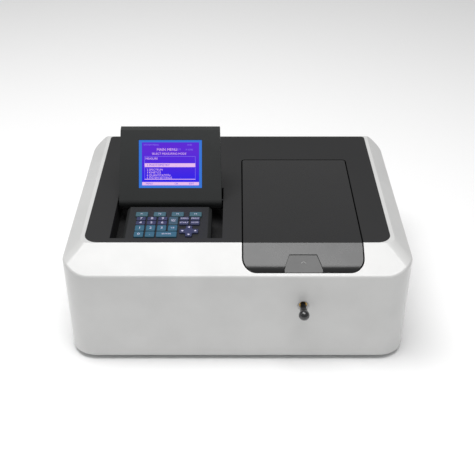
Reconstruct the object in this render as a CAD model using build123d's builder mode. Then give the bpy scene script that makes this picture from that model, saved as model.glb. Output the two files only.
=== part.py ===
from build123d import *
import math
import os

os.makedirs("parts", exist_ok=True)

# Double-beam spectrophotometer. X runs left to right, Y from front to back, Z up.
# The origin lies on the bench under the middle of the whole instrument.

# Casing
body_w = 476.0
body_d = 366.0
foot_h = 8.0
front_h = 137.8
shoulder_h = 146.2
top_h = 162.8
back_h = 154.0
slope_d = 44.5
back_slope = 8.0
band_w = 22.7
corner_front = 38.0
corner_back = 30.0
hip_r = 26.0
crease_r = 4.0
wall = 3.0

# Clearances
seat_gap = 0.3
run_gap = 0.05
press_gap = 0.02
lid_gap = 2.0

# Top panel
panel_w = 419.5
panel_front = 45.6
panel_back = 356.2
panel_t = 3.0
panel_r_front = 19.0
panel_r_back = 5.0
ledge = 7.0

# Knob and pull rod
rod_x = 89.5
rod_h = 89.0
rod_r = 3.75
knob_r = 7.25
knob_out = 20.0

# Sample compartment lid
lid_x = 88.5
lid_w = 161.3
lid_front = 7.0
lid_back = 275.5
lid_skin = 3.0
skirt_h = 13.0
lip_r = 20.0
lid_r_front = 18.0
lid_r_back = 4.0
lid_pin_r = 1.5
lid_pin_in = 12.0
lid_pin_down = 6.5
grip_top_w = 36.0
grip_low_w = 51.0
grip_top = 28.2
grip_low = 9.5
grip_t = 1.6

# Keypad bay and display head
bay_x = -98.0
bay_w = 154.4
bay_front = 55.5
bay_back = 190.0
bay_depth = 36.0
bay_wall = 2.5
island_w = 122.0
island_back = 138.0
island_drop = 1.5
island_t = 3.0
island_taper = 4.5
head_w = 149.6
head_top_w = 144.4
head_len = 108.0
head_r = 12.5
head_tilt = 57.0
head_bevel = 6.0
head_split = 4.5
head_wall = 2.5
pivot_back = 160.5
pivot_down = 3.8
head_pin_r = 2.0
window_w = 92.3
window_h = 70.1
window_low = 17.6
glass_t = 4.0
glass_lap = 7.0

# Keys
key_pitch = 15.3
key_w = 12.9
key_gap = 0.5
key_rise = 2.5
key_travel = 1.2
key_flange = 0.9
key_flange_t = 1.0
soft_pitch = 25.5
soft_w = 17.3

# Feet and base
base_t = 2.0
base_lip = 16.0
foot_r = 12.0
foot_in = 46.0
screw_r = 2.0
screw_head_r = 4.0
boss_r = 5.5

# Sample compartment
tub_w = 140.0
tub_front = 24.0
tub_back = 250.0
tub_wall = 3.0
tub_floor = 48.0
gutter_t = 2.0
cell_side = 12.5
cell_h = 45.0
cell_pitch = 15.0
cell_count = 5
beam_h = 76.0
beam_front = 110.0
beam_rear = 215.0
port_r = 6.0

# Places that follow from the sizes above
knob_reach = knob_out + knob_r
front = (knob_reach - body_d) / 2
back = front + body_d
under = foot_h
floor_z = under + base_t
top_z = under + top_h


def skin_z(y, down=0.0):
    """Height of the casing's outer skin, y behind the front wall, less a drop."""
    rise = (top_h - front_h) * min(y, slope_d) / slope_d
    return under + front_h + rise - down


def casing_form(inset, low_z):
    """The casing's solid form, moved in by inset on every side but its underside."""
    with BuildPart() as form:
        with BuildSketch(Plane.XY.offset(low_z)) as plan:
            with Locations((0, (front + back) / 2)):
                Rectangle(body_w, body_d)
            fillet(plan.vertices().group_by(Axis.Y)[0], corner_front)
            fillet(plan.vertices().group_by(Axis.Y)[-1], corner_back)
            if inset:
                offset(amount=-inset)
        extrude(amount=2 * top_z)
        with BuildSketch(Plane.YZ.offset(-body_w)):
            with BuildLine():
                Polyline(
                    (front, -top_z),
                    (front, under + front_h),
                    (front + slope_d, top_z),
                    (back - back_slope, top_z),
                    (back, under + back_h),
                    (back, -top_z),
                    close=True,
                )
            make_face()
            if inset:
                offset(amount=-inset, kind=Kind.INTERSECTION)
        extrude(amount=2 * body_w, mode=Mode.INTERSECT)
        with BuildSketch(Plane.XZ.offset(-back - body_d)):
            with BuildLine():
                Polyline(
                    (-body_w / 2, -top_z),
                    (-body_w / 2, under + shoulder_h),
                    (-body_w / 2 + band_w, top_z),
                    (body_w / 2 - band_w, top_z),
                    (body_w / 2, under + shoulder_h),
                    (body_w / 2, -top_z),
                    close=True,
                )
            make_face()
            if inset:
                offset(amount=-inset, kind=Kind.INTERSECTION)
        extrude(amount=3 * body_d, mode=Mode.INTERSECT)
        lines = form.edges().filter_by(GeomType.LINE).filter_by_position(Axis.Y, 2 * front, 0)
        hips = lines.filter_by(lambda e: abs((e % 0.5).X * (e % 0.5).Y) > 0.01)
        fillet(hips, hip_r)
        walls = form.faces().filter_by(lambda f: abs(f.normal_at().Z) < 0.01)
        crown = walls.edges().filter_by(lambda e: abs((e % 0.5).Z) < 0.9)
        fillet(crown.filter_by_position(Axis.Z, under + front_h - inset - 1, top_z), crease_r)
    return form.part


def panel_plan(grow=0.0):
    """Outline of the dark top panel, grown by a clearance."""
    with BuildSketch() as plan:
        with Locations((0, front + (panel_front + panel_back) / 2)):
            Rectangle(panel_w, panel_back - panel_front)
        fillet(plan.vertices().group_by(Axis.Y)[0], panel_r_front)
        fillet(plan.vertices().group_by(Axis.Y)[-1], panel_r_back)
        if grow:
            offset(amount=grow)
    return plan.sketch


def lid_plan(grow=0.0):
    """Outline of the sample lid seen from above, grown by a clearance."""
    with BuildSketch() as plan:
        with Locations((lid_x, front + (lid_front + lid_back) / 2)):
            Rectangle(lid_w, lid_back - lid_front)
        fillet(plan.vertices().group_by(Axis.Y)[0], lid_r_front)
        fillet(plan.vertices().group_by(Axis.Y)[-1], lid_r_back)
        if grow:
            offset(amount=grow)
    return plan.sketch


def bay_plan(grow=0.0):
    """Outline of the keypad and display bay, grown by a wall."""
    with BuildSketch() as plan:
        with Locations((bay_x, front + (bay_front + bay_back) / 2)):
            Rectangle(bay_w + 2 * grow, bay_back - bay_front + 2 * grow)
    return plan.sketch


# Upper shell: the white moulded casing, open below, with a ledge that the top panel lies on
dimple_r = 11.0
dimple_w = 16.6
dimple_boss_t = 5.0
dimple_out = math.sqrt(dimple_r**2 - (dimple_w / 2) ** 2)
dimple_deep = dimple_r - dimple_out
ledge_t = 2.5
ledge_out = 2.5
rear_open_w = 380.0
rear_open_h = 112.0
rod_z = under + rod_h
bush_r = 5.5
boss_x = body_w / 2 - wall - boss_r + 1
boss_ys = [front + 70, front + body_d / 2, back - 70]
boss_h = 34.0
screw_deep = 12.0
boss_places = [(side * boss_x, y) for side in (-1, 1) for y in boss_ys]

with BuildPart() as upper_shell:
    add(casing_form(0, under))
    add(casing_form(wall, under - wall), mode=Mode.SUBTRACT)
    with BuildSketch(Plane.XY.offset(top_z - panel_t - ledge_t)):
        add(panel_plan(ledge_out))
        add(lid_plan(lid_gap + wall + seat_gap), mode=Mode.SUBTRACT)
    extrude(amount=ledge_t)
    with BuildSketch(Plane.XY.offset(top_z - panel_t)):
        add(panel_plan(seat_gap))
    extrude(amount=2 * panel_t, mode=Mode.SUBTRACT)
    with BuildSketch(Plane.XY.offset(top_z - panel_t - 2 * ledge_t)):
        add(panel_plan(-ledge))
    extrude(amount=4 * ledge_t, mode=Mode.SUBTRACT)
    with BuildSketch(Plane.XY.offset(under + front_h - 2 * skirt_h)):
        add(lid_plan(lid_gap))
    extrude(amount=top_h, mode=Mode.SUBTRACT)
    with BuildSketch(Plane.XZ.offset(-front - wall - dimple_boss_t)):
        with Locations((rod_x, rod_z)):
            Circle(dimple_w / 2 + wall)
    extrude(amount=wall + dimple_boss_t - wall / 2)
    with Locations((rod_x, front - dimple_out, rod_z)):
        Sphere(dimple_r, mode=Mode.SUBTRACT)
    with BuildSketch(Plane.XZ.offset(-front)):
        with Locations((rod_x, rod_z)):
            Circle(bush_r + run_gap)
    extrude(amount=-3 * wall, mode=Mode.SUBTRACT)
    with BuildSketch(Plane.XZ.offset(-back - wall)):
        with Locations((0, under + rear_open_h / 2 - wall)):
            Rectangle(rear_open_w, rear_open_h + 2 * wall)
    extrude(amount=3 * wall, mode=Mode.SUBTRACT)
    with BuildSketch(Plane.XY.offset(floor_z)):
        with Locations(*boss_places):
            Circle(boss_r)
    extrude(amount=boss_h)
    with BuildSketch(Plane.XY.offset(floor_z)):
        with Locations(*boss_places):
            Circle(screw_r + run_gap / 2)
    extrude(amount=screw_deep, mode=Mode.SUBTRACT)
upper_shell.part.label = "upper_shell"
export_step(upper_shell.part, "parts/upper_shell.step")

# Base tray: folded sheet floor with an upturned lip, set inside the shell's lower rim
lip_t = 1.5
tray_in = wall + seat_gap


def tray_plan(inset):
    """Outline of the base tray inside the shell, moved in by inset."""
    with BuildSketch() as plan:
        with Locations((0, (front + back) / 2)):
            Rectangle(body_w, body_d)
        fillet(plan.vertices().group_by(Axis.Y)[0], corner_front)
        fillet(plan.vertices().group_by(Axis.Y)[-1], corner_back)
        offset(amount=-inset)
    return plan.sketch


foot_x = body_w / 2 - foot_in
foot_ys = [front + foot_in, back - foot_in]
foot_places = [(side * foot_x, y) for side in (-1, 1) for y in foot_ys]
vent_pitch = 9.0
vent_count = 9
vent_l = 60.0
vent_w = 3.5
rear_t = 1.5
rear_y = back - wall

with BuildPart() as base_tray:
    with BuildSketch(Plane.XY.offset(under)):
        add(tray_plan(tray_in))
    extrude(amount=base_t)
    with BuildSketch(Plane.XY.offset(floor_z)):
        add(tray_plan(tray_in))
        add(tray_plan(tray_in + lip_t), mode=Mode.SUBTRACT)
        with Locations((0, back)):
            Rectangle(body_w, 2 * corner_back, mode=Mode.SUBTRACT)
        with Locations(*boss_places):
            Circle(boss_r + 2 * seat_gap, mode=Mode.SUBTRACT)
    extrude(amount=base_lip - base_t)
    with BuildSketch(Plane.XY.offset(under)):
        with Locations(*boss_places):
            Circle(screw_r + seat_gap)
    extrude(amount=base_t, mode=Mode.SUBTRACT)
    with BuildSketch(Plane.XY.offset(under)):
        with Locations((-body_w / 5, front + body_d * 0.8), (body_w / 8, front + body_d * 0.84)):
            with GridLocations(vent_pitch, 1, vent_count, 1):
                SlotOverall(vent_l / 2, vent_w, rotation=90)
    extrude(amount=base_t, mode=Mode.SUBTRACT)
base_tray.part.label = "base_tray"
export_step(base_tray.part, "parts/base_tray.step")

# Rubber feet
foot_taper = 8.0
with BuildPart() as feet:
    with BuildSketch(Plane.XY.offset(under)):
        with Locations(*foot_places):
            Circle(foot_r)
    extrude(amount=-foot_h, taper=foot_taper)
    fillet(feet.edges().group_by(Axis.Z)[0], 1.0)
feet.part.label = "feet"
export_step(feet.part, "parts/feet.step")

# Casing screws, put in from below into the shell's bosses
screw_head_h = 2.0
with BuildPart() as screws:
    with BuildSketch(Plane.XY.offset(under - screw_head_h)):
        with Locations(*boss_places):
            Circle(screw_head_r)
    extrude(amount=screw_head_h)
    chamfer(screws.edges().group_by(Axis.Z)[0], screw_head_h / 4)
    with BuildSketch(Plane.XY.offset(under)):
        with Locations(*boss_places):
            Circle(screw_r)
    extrude(amount=base_t + screw_deep - 1)
    with BuildSketch(Plane.XY.offset(under - screw_head_h)):
        with Locations(*boss_places):
            RegularPolygon(screw_r * 0.7, 6)
    extrude(amount=screw_head_h * 0.6, mode=Mode.SUBTRACT)
screws.part.label = "casing_screws"
export_step(screws.part, "parts/casing_screws.step")

# Top panel: one dark moulding with the plate, the bay, and the plateau that the keypad plate lies on
cap_h = island_t + key_flange_t + key_travel + seat_gap
cap_z = top_z - island_drop
plateau_z = cap_z - cap_h
bay_floor = top_z - bay_depth
island_d = island_back - bay_front
island_y = front + (bay_front + island_back) / 2
pivot_y = front + pivot_back
pivot_z = top_z - pivot_down
socket_l = 6.0
socket_r = 6.0
socket_deep = 4.0
head_pin_l = bay_w + 2 * (bay_wall + socket_deep)

with BuildPart() as top_panel:
    with BuildSketch(Plane.XY.offset(top_z - panel_t)):
        add(panel_plan())
        add(lid_plan(lid_gap), mode=Mode.SUBTRACT)
    extrude(amount=panel_t)
    with BuildSketch(Plane.XY.offset(bay_floor - bay_wall)):
        add(bay_plan(bay_wall))
    extrude(amount=bay_depth + bay_wall)
    with BuildSketch(Plane.XY.offset(top_z - panel_t)):
        with Locations((bay_x, pivot_y)):
            Rectangle(bay_w + 2 * (bay_wall + socket_l), 2 * socket_r)
    extrude(amount=-socket_r - pivot_down + panel_t)
    with BuildSketch(Plane.XY.offset(bay_floor)):
        add(bay_plan())
        with Locations((bay_x, island_y)):
            Rectangle(island_w, island_d, mode=Mode.SUBTRACT)
    extrude(amount=bay_depth, mode=Mode.SUBTRACT)
    with BuildSketch(Plane.XY.offset(plateau_z)):
        with Locations((bay_x, island_y)):
            Rectangle(island_w, island_d)
    extrude(amount=bay_depth, mode=Mode.SUBTRACT)
    with BuildSketch(Plane.XY.offset(bay_floor - bay_wall)):
        with Locations((bay_x, island_y)):
            Rectangle(island_w - 2 * bay_wall, island_d - 2 * bay_wall)
    extrude(amount=plateau_z - bay_floor, mode=Mode.SUBTRACT)
    with BuildSketch(Plane.YZ.offset(bay_x)):
        with Locations((pivot_y, pivot_z)):
            Circle(head_pin_r + press_gap)
    extrude(amount=head_pin_l / 2, both=True, mode=Mode.SUBTRACT)
top_panel.part.label = "top_panel"
export_step(top_panel.part, "parts/top_panel.step")

# Keys: rows run from the front row to the row of soft keys under the screen
row_depths = (12.6, 13.6, 8.9, 8.3, 10.8)
row_gap = 2.1
keys_front = 58.5
key_corner = 1.2
key_edge = 0.5
cursor_w = 26.0
cursor_arm = 9.0
row_starts = [front + keys_front + sum(row_depths[:i]) + i * row_gap for i in range(len(row_depths))]
columns = [bay_x + (i - 2.5) * key_pitch for i in range(6)]
soft_columns = [bay_x + (i - 1.5) * soft_pitch for i in range(4)]
key_cells = {
    "key_zero": (0, 0, 0, 0),
    "key_point": (1, 1, 0, 0),
    "key_enter": (2, 3, 0, 0),
    "key_one": (0, 0, 1, 1),
    "key_two": (1, 1, 1, 1),
    "key_three": (2, 2, 1, 1),
    "key_clear": (3, 3, 1, 1),
    "key_four": (0, 0, 2, 2),
    "key_five": (1, 1, 2, 2),
    "key_six": (2, 2, 2, 2),
    "key_seven": (0, 0, 3, 3),
    "key_eight": (1, 1, 3, 3),
    "key_nine": (2, 2, 3, 3),
    "key_goto": (3, 3, 2, 3),
    "key_start": (4, 4, 2, 2),
    "key_stop": (5, 5, 2, 2),
    "key_blank": (4, 4, 3, 3),
    "key_print": (5, 5, 3, 3),
}
plate_under = cap_z - island_t


def key_outline(x, y, w, d, grow=0.0):
    """Rounded outline of one key, or of its hole when grown."""
    with BuildSketch() as outline:
        with Locations((x, y)):
            RectangleRounded(w + 2 * grow, d + 2 * grow, key_corner)
    return outline.sketch


def cell_outline(cell, grow=0.0):
    """Outline of a key that spans columns and rows of the grid."""
    first, last, low, high = cell
    y_low = row_starts[low]
    y_high = row_starts[high] + row_depths[high]
    w = columns[last] - columns[first] + key_w
    return key_outline((columns[first] + columns[last]) / 2, (y_low + y_high) / 2, w, y_high - y_low, grow)


def soft_outline(x, grow=0.0):
    """Outline of one soft key in the row under the screen."""
    return key_outline(x, row_starts[-1] + row_depths[-1] / 2, soft_w, row_depths[-1], grow)


def cursor_outline(grow=0.0):
    """Cross-shaped outline of the cursor pad."""
    y_mid = (row_starts[0] + row_starts[1] + row_depths[1]) / 2
    with BuildSketch() as outline:
        with Locations(((columns[4] + columns[5]) / 2, y_mid)):
            RectangleRounded(cursor_w + 2 * grow, cursor_arm + 2 * grow, key_corner)
            RectangleRounded(cursor_arm + 2 * grow, cursor_w + 2 * grow, key_corner)
            Circle(cursor_arm * 0.85 + grow)
    return outline.sketch


def key_solid(outline, flange):
    """A key: its cap standing through the keypad plate, and the flange that holds it under the plate."""
    with BuildPart() as key:
        with BuildSketch(Plane.XY.offset(plate_under)):
            add(outline)
        extrude(amount=island_t + key_rise)
        chamfer(key.faces().sort_by(Axis.Z)[-1].edges(), key_edge)
        with BuildSketch(Plane.XY.offset(plate_under)):
            add(outline)
            add(flange)
        extrude(amount=-key_flange_t)
    return key.part


def bar_flange(outline):
    """Flange of a key: a bar a little wider than its cap on the left and right."""
    box = outline.bounding_box()
    with BuildSketch() as flange:
        with Locations((box.center().X, box.center().Y)):
            Rectangle(box.size.X + 2 * key_flange, box.size.Y - 2 * key_corner)
    return flange.sketch


key_outlines = {name: cell_outline(cell) for name, cell in key_cells.items()}
for number, x in enumerate(soft_columns, start=1):
    key_outlines[f"soft_key_{number}"] = soft_outline(x)
key_outlines["cursor_pad"] = cursor_outline()
hole_outlines = [cell_outline(cell, key_gap / 2) for cell in key_cells.values()]
hole_outlines += [soft_outline(x, key_gap / 2) for x in soft_columns]
hole_outlines.append(cursor_outline(key_gap / 2))

for name, outline in key_outlines.items():
    key_part = key_solid(outline, bar_flange(outline))
    key_part.label = name
    export_step(key_part, f"parts/{name}.step")

# Keypad plate: a shallow cap with chamfered flanks, open below, with a hole for each key
cap_wall = 6.0
cap_rim = 2.5
with BuildPart() as keypad_plate:
    with BuildSketch(Plane.XY.offset(plateau_z)):
        with Locations((bay_x, island_y)):
            Rectangle(island_w, island_d)
    extrude(amount=cap_h)
    rim = keypad_plate.faces().sort_by(Axis.Z)[-1].edges()
    chamfer(rim.filter_by(Axis.Y), island_taper)
    with BuildSketch(Plane.XY.offset(plateau_z)):
        with Locations((bay_x, island_y)):
            Rectangle(island_w - 2 * cap_wall, island_d - 2 * cap_rim)
    extrude(amount=cap_h - island_t, mode=Mode.SUBTRACT)
    with BuildSketch(Plane.XY.offset(plateau_z)):
        for outline in hole_outlines:
            add(outline)
    extrude(amount=cap_h, mode=Mode.SUBTRACT)
keypad_plate.part.label = "keypad_plate"
export_step(keypad_plate.part, "parts/keypad_plate.step")

# Display head: a tilted slab with a round lower edge about its hinge pin, in two half shells
tilt = math.radians(head_tilt)
head_up = (0, math.cos(tilt), math.sin(tilt))
head_out = (0, -math.sin(tilt), math.cos(tilt))
pivot = Vector(bay_x, pivot_y, pivot_z)
head_side = Plane(origin=pivot, x_dir=head_up, z_dir=(1, 0, 0))
knuckle_r = 6.0
knuckle_l = 9.0
head_vents = 9
head_vent_l = 40.0
head_vent_pitch = 9.0


def head_face(out):
    """Plane parallel to the screen, its origin over the hinge pin, its Y up the head."""
    return Plane(origin=pivot + Vector(*head_out) * out, x_dir=(1, 0, 0), z_dir=head_out)


def head_half_w(along):
    """Half width of the head at a distance from the pin: it narrows towards its top."""
    return (head_w - (head_w - head_top_w) * along / head_len) / 2


def head_form(inset):
    """The display head's closed form, moved in by inset."""
    low = -2 * head_r
    high = head_len + 2 * head_r
    with BuildPart() as form:
        with BuildSketch(head_side):
            with BuildLine():
                ThreePointArc((0, head_r), (-head_r, 0), (0, -head_r))
                Polyline(
                    (0, -head_r),
                    (head_len, -head_r),
                    (head_len, head_r - head_bevel),
                    (head_len - head_bevel, head_r),
                    (0, head_r),
                )
            make_face()
            if inset:
                offset(amount=-inset, kind=Kind.INTERSECTION)
        extrude(amount=head_w, both=True)
        with BuildSketch(head_face(0)):
            with BuildLine():
                Polyline(
                    (-head_half_w(low), low),
                    (head_half_w(low), low),
                    (head_half_w(high), high),
                    (-head_half_w(high), high),
                    close=True,
                )
            make_face()
            if inset:
                offset(amount=-inset, kind=Kind.INTERSECTION)
        extrude(amount=2 * head_r, both=True, mode=Mode.INTERSECT)
    return form.part


with BuildPart() as display_front:
    add(head_form(0))
    add(head_form(head_wall), mode=Mode.SUBTRACT)
    split(bisect_by=head_face(head_split), keep=Keep.TOP)
    with BuildSketch(head_face(head_r)):
        with Locations((0, window_low + window_h / 2)):
            Rectangle(window_w, window_h)
    extrude(amount=-head_wall, mode=Mode.SUBTRACT)
display_front.part.label = "display_front"
export_step(display_front.part, "parts/display_front.step")

with BuildPart() as display_back:
    add(head_form(0))
    add(head_form(head_wall), mode=Mode.SUBTRACT)
    for side in (-1, 1):
        with BuildSketch(head_side.offset(side * (head_half_w(0) - head_wall))):
            Circle(knuckle_r)
        extrude(amount=-side * knuckle_l)
    with BuildSketch(head_side):
        Circle(head_pin_r + run_gap)
    extrude(amount=head_w, both=True, mode=Mode.SUBTRACT)
    with BuildSketch(head_face(-head_r)):
        with Locations((0, head_len * 0.6)):
            with GridLocations(head_vent_pitch, 1, head_vents, 1):
                SlotOverall(head_vent_l, vent_w, rotation=90)
    extrude(amount=head_wall, mode=Mode.SUBTRACT)
    split(bisect_by=head_face(head_split), keep=Keep.BOTTOM)
display_back.part.label = "display_back"
export_step(display_back.part, "parts/display_back.step")

with BuildPart() as lcd_screen:
    with BuildSketch(head_face(head_r - head_wall)):
        with Locations((0, window_low + window_h / 2)):
            Rectangle(window_w + 2 * glass_lap, window_h + 2 * glass_lap)
    extrude(amount=-glass_t)
lcd_screen.part.label = "lcd_screen"
export_step(lcd_screen.part, "parts/lcd_screen.step")

with BuildPart() as display_hinge_pin:
    with BuildSketch(head_side):
        Circle(head_pin_r)
    extrude(amount=head_pin_l / 2, both=True)
display_hinge_pin.part.label = "display_hinge_pin"
export_step(display_hinge_pin.part, "parts/display_hinge_pin.step")

# Sample lid: a moulded cover with skirts that drapes over the front slope, with a grip let into its lip
lid_pin_y = front + lid_back - lid_pin_in
lid_pin_z = top_z - lid_pin_down
lid_swing = math.hypot(lid_pin_in, lid_pin_down)
slope_y = front + slope_d
ear_r = 3.0
ear_t = 8.0
lug_t = 12.0
lug_x = 50.0
ear_x = lug_x + (lug_t + ear_t) / 2 + seat_gap
ear_gap = 0.5
grip_gap = 1.0
grip_front = 5.8
grip_deep = 6.0


def lid_form(inset, drop):
    """The lid's outer form, moved in by inset, its lower edge let down by drop."""
    with BuildPart() as form:
        with BuildSketch(Plane.YZ.offset(lid_x - lid_w)) as side:
            with BuildLine():
                Polyline(
                    (front + lid_front, skin_z(lid_front, skirt_h + drop)),
                    (front + lid_front, skin_z(lid_front)),
                    (slope_y, top_z),
                    (front + lid_back, top_z),
                    (front + lid_back, top_z - skirt_h - drop),
                    (slope_y, top_z - skirt_h - drop),
                    close=True,
                )
            make_face()
            fillet(side.vertices().group_by(Axis.X)[0].sort_by(Axis.Y)[-1], lip_r)
            if inset:
                offset(amount=-inset, kind=Kind.INTERSECTION)
        extrude(amount=2 * lid_w)
        with BuildSketch(Plane.XY):
            add(lid_plan(-inset))
        extrude(amount=2 * top_z, mode=Mode.INTERSECT)
    return form.part


def grip_plan(grow=0.0):
    """Trapezoid outline of the grip, seen from above."""
    with BuildSketch() as plan:
        with BuildLine():
            Polyline(
                (lid_x - grip_low_w / 2, front + grip_front),
                (lid_x - grip_low_w / 2, front + grip_low),
                (lid_x - grip_top_w / 2, front + grip_top),
                (lid_x + grip_top_w / 2, front + grip_top),
                (lid_x + grip_low_w / 2, front + grip_low),
                (lid_x + grip_low_w / 2, front + grip_front),
                close=True,
            )
        make_face()
        if grow:
            offset(amount=grow, kind=Kind.INTERSECTION)
    return plan.sketch


with BuildPart() as grip_pocket:
    with BuildSketch(Plane.XY.offset(under)):
        add(grip_plan(grip_gap))
    extrude(amount=2 * top_h)
    add(lid_form(grip_t, 2 * skirt_h), mode=Mode.SUBTRACT)

with BuildPart() as sample_lid:
    add(lid_form(0, 0))
    add(lid_form(lid_skin, skirt_h), mode=Mode.SUBTRACT)
    add(grip_pocket.part, mode=Mode.SUBTRACT)
    for side in (-1, 1):
        with BuildSketch(Plane.YZ.offset(lid_x + side * lug_x)):
            with Locations((lid_pin_y, lid_pin_z)):
                Circle(ear_r)
            with Locations((lid_pin_y, (lid_pin_z + top_z - lid_skin) / 2)):
                Rectangle(2 * ear_r, top_z - lid_skin - lid_pin_z)
        extrude(amount=lug_t / 2, both=True)
    with BuildSketch(Plane.YZ.offset(lid_x)):
        with Locations((lid_pin_y, lid_pin_z)):
            Circle(lid_pin_r + run_gap)
    extrude(amount=lug_x + lug_t, both=True, mode=Mode.SUBTRACT)
    with BuildSketch(Plane.XY.offset(top_z - 2 * skirt_h)):
        with Locations((lid_x - ear_x, front + lid_back), (lid_x + ear_x, front + lid_back)):
            Rectangle(ear_t + 2 * ear_gap, 2 * lid_skin + ear_gap)
    extrude(amount=2 * skirt_h - lid_skin, mode=Mode.SUBTRACT)
sample_lid.part.label = "sample_lid"
export_step(sample_lid.part, "parts/sample_lid.step")

with BuildPart() as lid_grip:
    with BuildSketch(Plane.YZ.offset(lid_x)):
        with BuildLine():
            Polyline(
                (front + grip_front, skin_z(grip_front, grip_deep)),
                (front + grip_front, skin_z(grip_front)),
                (front + grip_top, skin_z(grip_top)),
                (front + grip_top, skin_z(grip_top, grip_deep)),
                close=True,
            )
        make_face()
    extrude(amount=grip_low_w, both=True)
    with BuildSketch(Plane.XY):
        add(grip_plan())
    extrude(amount=2 * top_z, mode=Mode.INTERSECT)
    add(lid_form(grip_t - run_gap, skirt_h), mode=Mode.SUBTRACT)
lid_grip.part.label = "lid_grip"
export_step(lid_grip.part, "parts/lid_grip.step")

# Sample compartment: a cast tub whose flange makes a gutter round the lid's skirts
gutter_drop = skirt_h + 1.0
trough_drop = lid_pin_down + lid_swing + 1.5
rim_drop = 2 * lid_skin
tub_z = under + tub_floor
tub_len = tub_back - tub_front
tub_y = front + (tub_front + tub_back) / 2
stem_back = 1.5
leg_r = 6.0
leg_x = tub_w / 2 - 15
leg_ys = (front + tub_front + 18, front + tub_back - 18)
rail_x = 8.0
rail_w = 6.0
rail_h = 6.0
beam_z = under + beam_h
beam_ys = (front + beam_front, front + beam_rear)


def flange_form(drop, trough, reach):
    """Block over a floor that follows the lid's skirts at a drop, down to the hinge trough."""
    low_y = front + lid_front - reach
    high_y = front + lid_back + reach
    step_y = front + tub_back + wall
    with BuildPart() as form:
        with BuildSketch(Plane.YZ.offset(lid_x - lid_w)):
            with BuildLine():
                Polyline(
                    (low_y, skin_z(lid_front, drop)),
                    (front + lid_front, skin_z(lid_front, drop)),
                    (slope_y, top_z - drop),
                    (step_y, top_z - drop),
                    (step_y, top_z - trough),
                    (high_y, top_z - trough),
                    (high_y, 2 * top_z),
                    (low_y, 2 * top_z),
                    close=True,
                )
            make_face()
        extrude(amount=2 * lid_w)
        with BuildSketch(Plane.XY):
            add(lid_plan(reach))
        extrude(amount=2 * top_z, mode=Mode.INTERSECT)
    return form.part


with BuildPart() as sample_tub:
    add(flange_form(gutter_drop + gutter_t, trough_drop + gutter_t, lid_gap + wall))
    add(casing_form(wall + seat_gap, under), mode=Mode.INTERSECT)
    add(flange_form(gutter_drop, trough_drop, lid_gap), mode=Mode.SUBTRACT)
    with BuildSketch(Plane.YZ.offset(lid_x)):
        with BuildLine():
            Polyline(
                (front + tub_front - tub_wall, tub_z),
                (front + tub_front - tub_wall, skin_z(tub_front - tub_wall, rim_drop)),
                (slope_y, top_z - rim_drop),
                (front + tub_back + tub_wall, top_z - rim_drop),
                (front + tub_back + tub_wall, tub_z),
                close=True,
            )
        make_face()
    extrude(amount=tub_w / 2 + tub_wall, both=True)
    with BuildSketch(Plane.XY.offset(tub_z + tub_wall)):
        with Locations((lid_x, tub_y)):
            RectangleRounded(tub_w, tub_len, tub_wall)
    extrude(amount=top_z, mode=Mode.SUBTRACT)
    with BuildSketch(Plane.XY.offset(floor_z)):
        for x in (lid_x - leg_x, lid_x + leg_x):
            with Locations(*[(x, y) for y in leg_ys]):
                Circle(leg_r)
    extrude(amount=tub_z - floor_z)
    with BuildSketch(Plane.XY.offset(tub_z + tub_wall)):
        with Locations((rod_x - rail_x, tub_y), (rod_x + rail_x, tub_y)):
            Rectangle(rail_w, tub_len)
    extrude(amount=rail_h)
    for side in (-1, 1):
        with BuildSketch(Plane.YZ.offset(lid_x + side * ear_x)):
            with Locations((lid_pin_y, lid_pin_z)):
                Circle(ear_r)
            with BuildLine():
                Polyline(
                    (lid_pin_y - ear_r, lid_pin_z),
                    (lid_pin_y + stem_back, lid_pin_z),
                    (lid_pin_y + stem_back, top_z - trough_drop),
                    (lid_pin_y - 2 * ear_r, top_z - trough_drop),
                    close=True,
                )
            make_face()
        extrude(amount=ear_t / 2, both=True)
    with BuildSketch(Plane.YZ.offset(lid_x)):
        with Locations((lid_pin_y, lid_pin_z)):
            Circle(lid_pin_r + press_gap)
    extrude(amount=ear_x + ear_t, both=True, mode=Mode.SUBTRACT)
    with BuildSketch(Plane.YZ.offset(lid_x)):
        with Locations(*[(y, beam_z) for y in beam_ys]):
            Circle(port_r)
    extrude(amount=tub_w, both=True, mode=Mode.SUBTRACT)
    with BuildSketch(Plane.XZ.offset(-tub_y)):
        with Locations((rod_x, rod_z)):
            Circle(rod_r + seat_gap)
    extrude(amount=tub_len, mode=Mode.SUBTRACT)
sample_tub.part.label = "sample_tub"
export_step(sample_tub.part, "parts/sample_tub.step")

with BuildPart() as lid_hinge_pin:
    with BuildSketch(Plane.YZ.offset(lid_x)):
        with Locations((lid_pin_y, lid_pin_z)):
            Circle(lid_pin_r)
    extrude(amount=ear_x + ear_t / 2, both=True)
lid_hinge_pin.part.label = "lid_hinge_pin"
export_step(lid_hinge_pin.part, "parts/lid_hinge_pin.step")

# Sliding cell carriage on the tub's rails, its cells one pitch apart, drawn forward by the rod
carriage_w = 26.0
carriage_end = 9.0
carriage_gap = 0.1
carriage_z = tub_z + tub_wall + rail_h + carriage_gap
carriage_top = rod_z + rod_r + 4.0
cell_floor = 4.0
cell_gap = 0.15
cell_first = front + beam_front
cell_ys = [cell_first + i * cell_pitch for i in range(cell_count)]
carriage_front = cell_ys[0] - carriage_end
carriage_back = cell_ys[-1] + carriage_end
carriage_y = (carriage_front + carriage_back) / 2
cell_z = carriage_z + cell_floor
cap_t = 5.0
spigot_r = 2.5
spigot_l = 2.0


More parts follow.
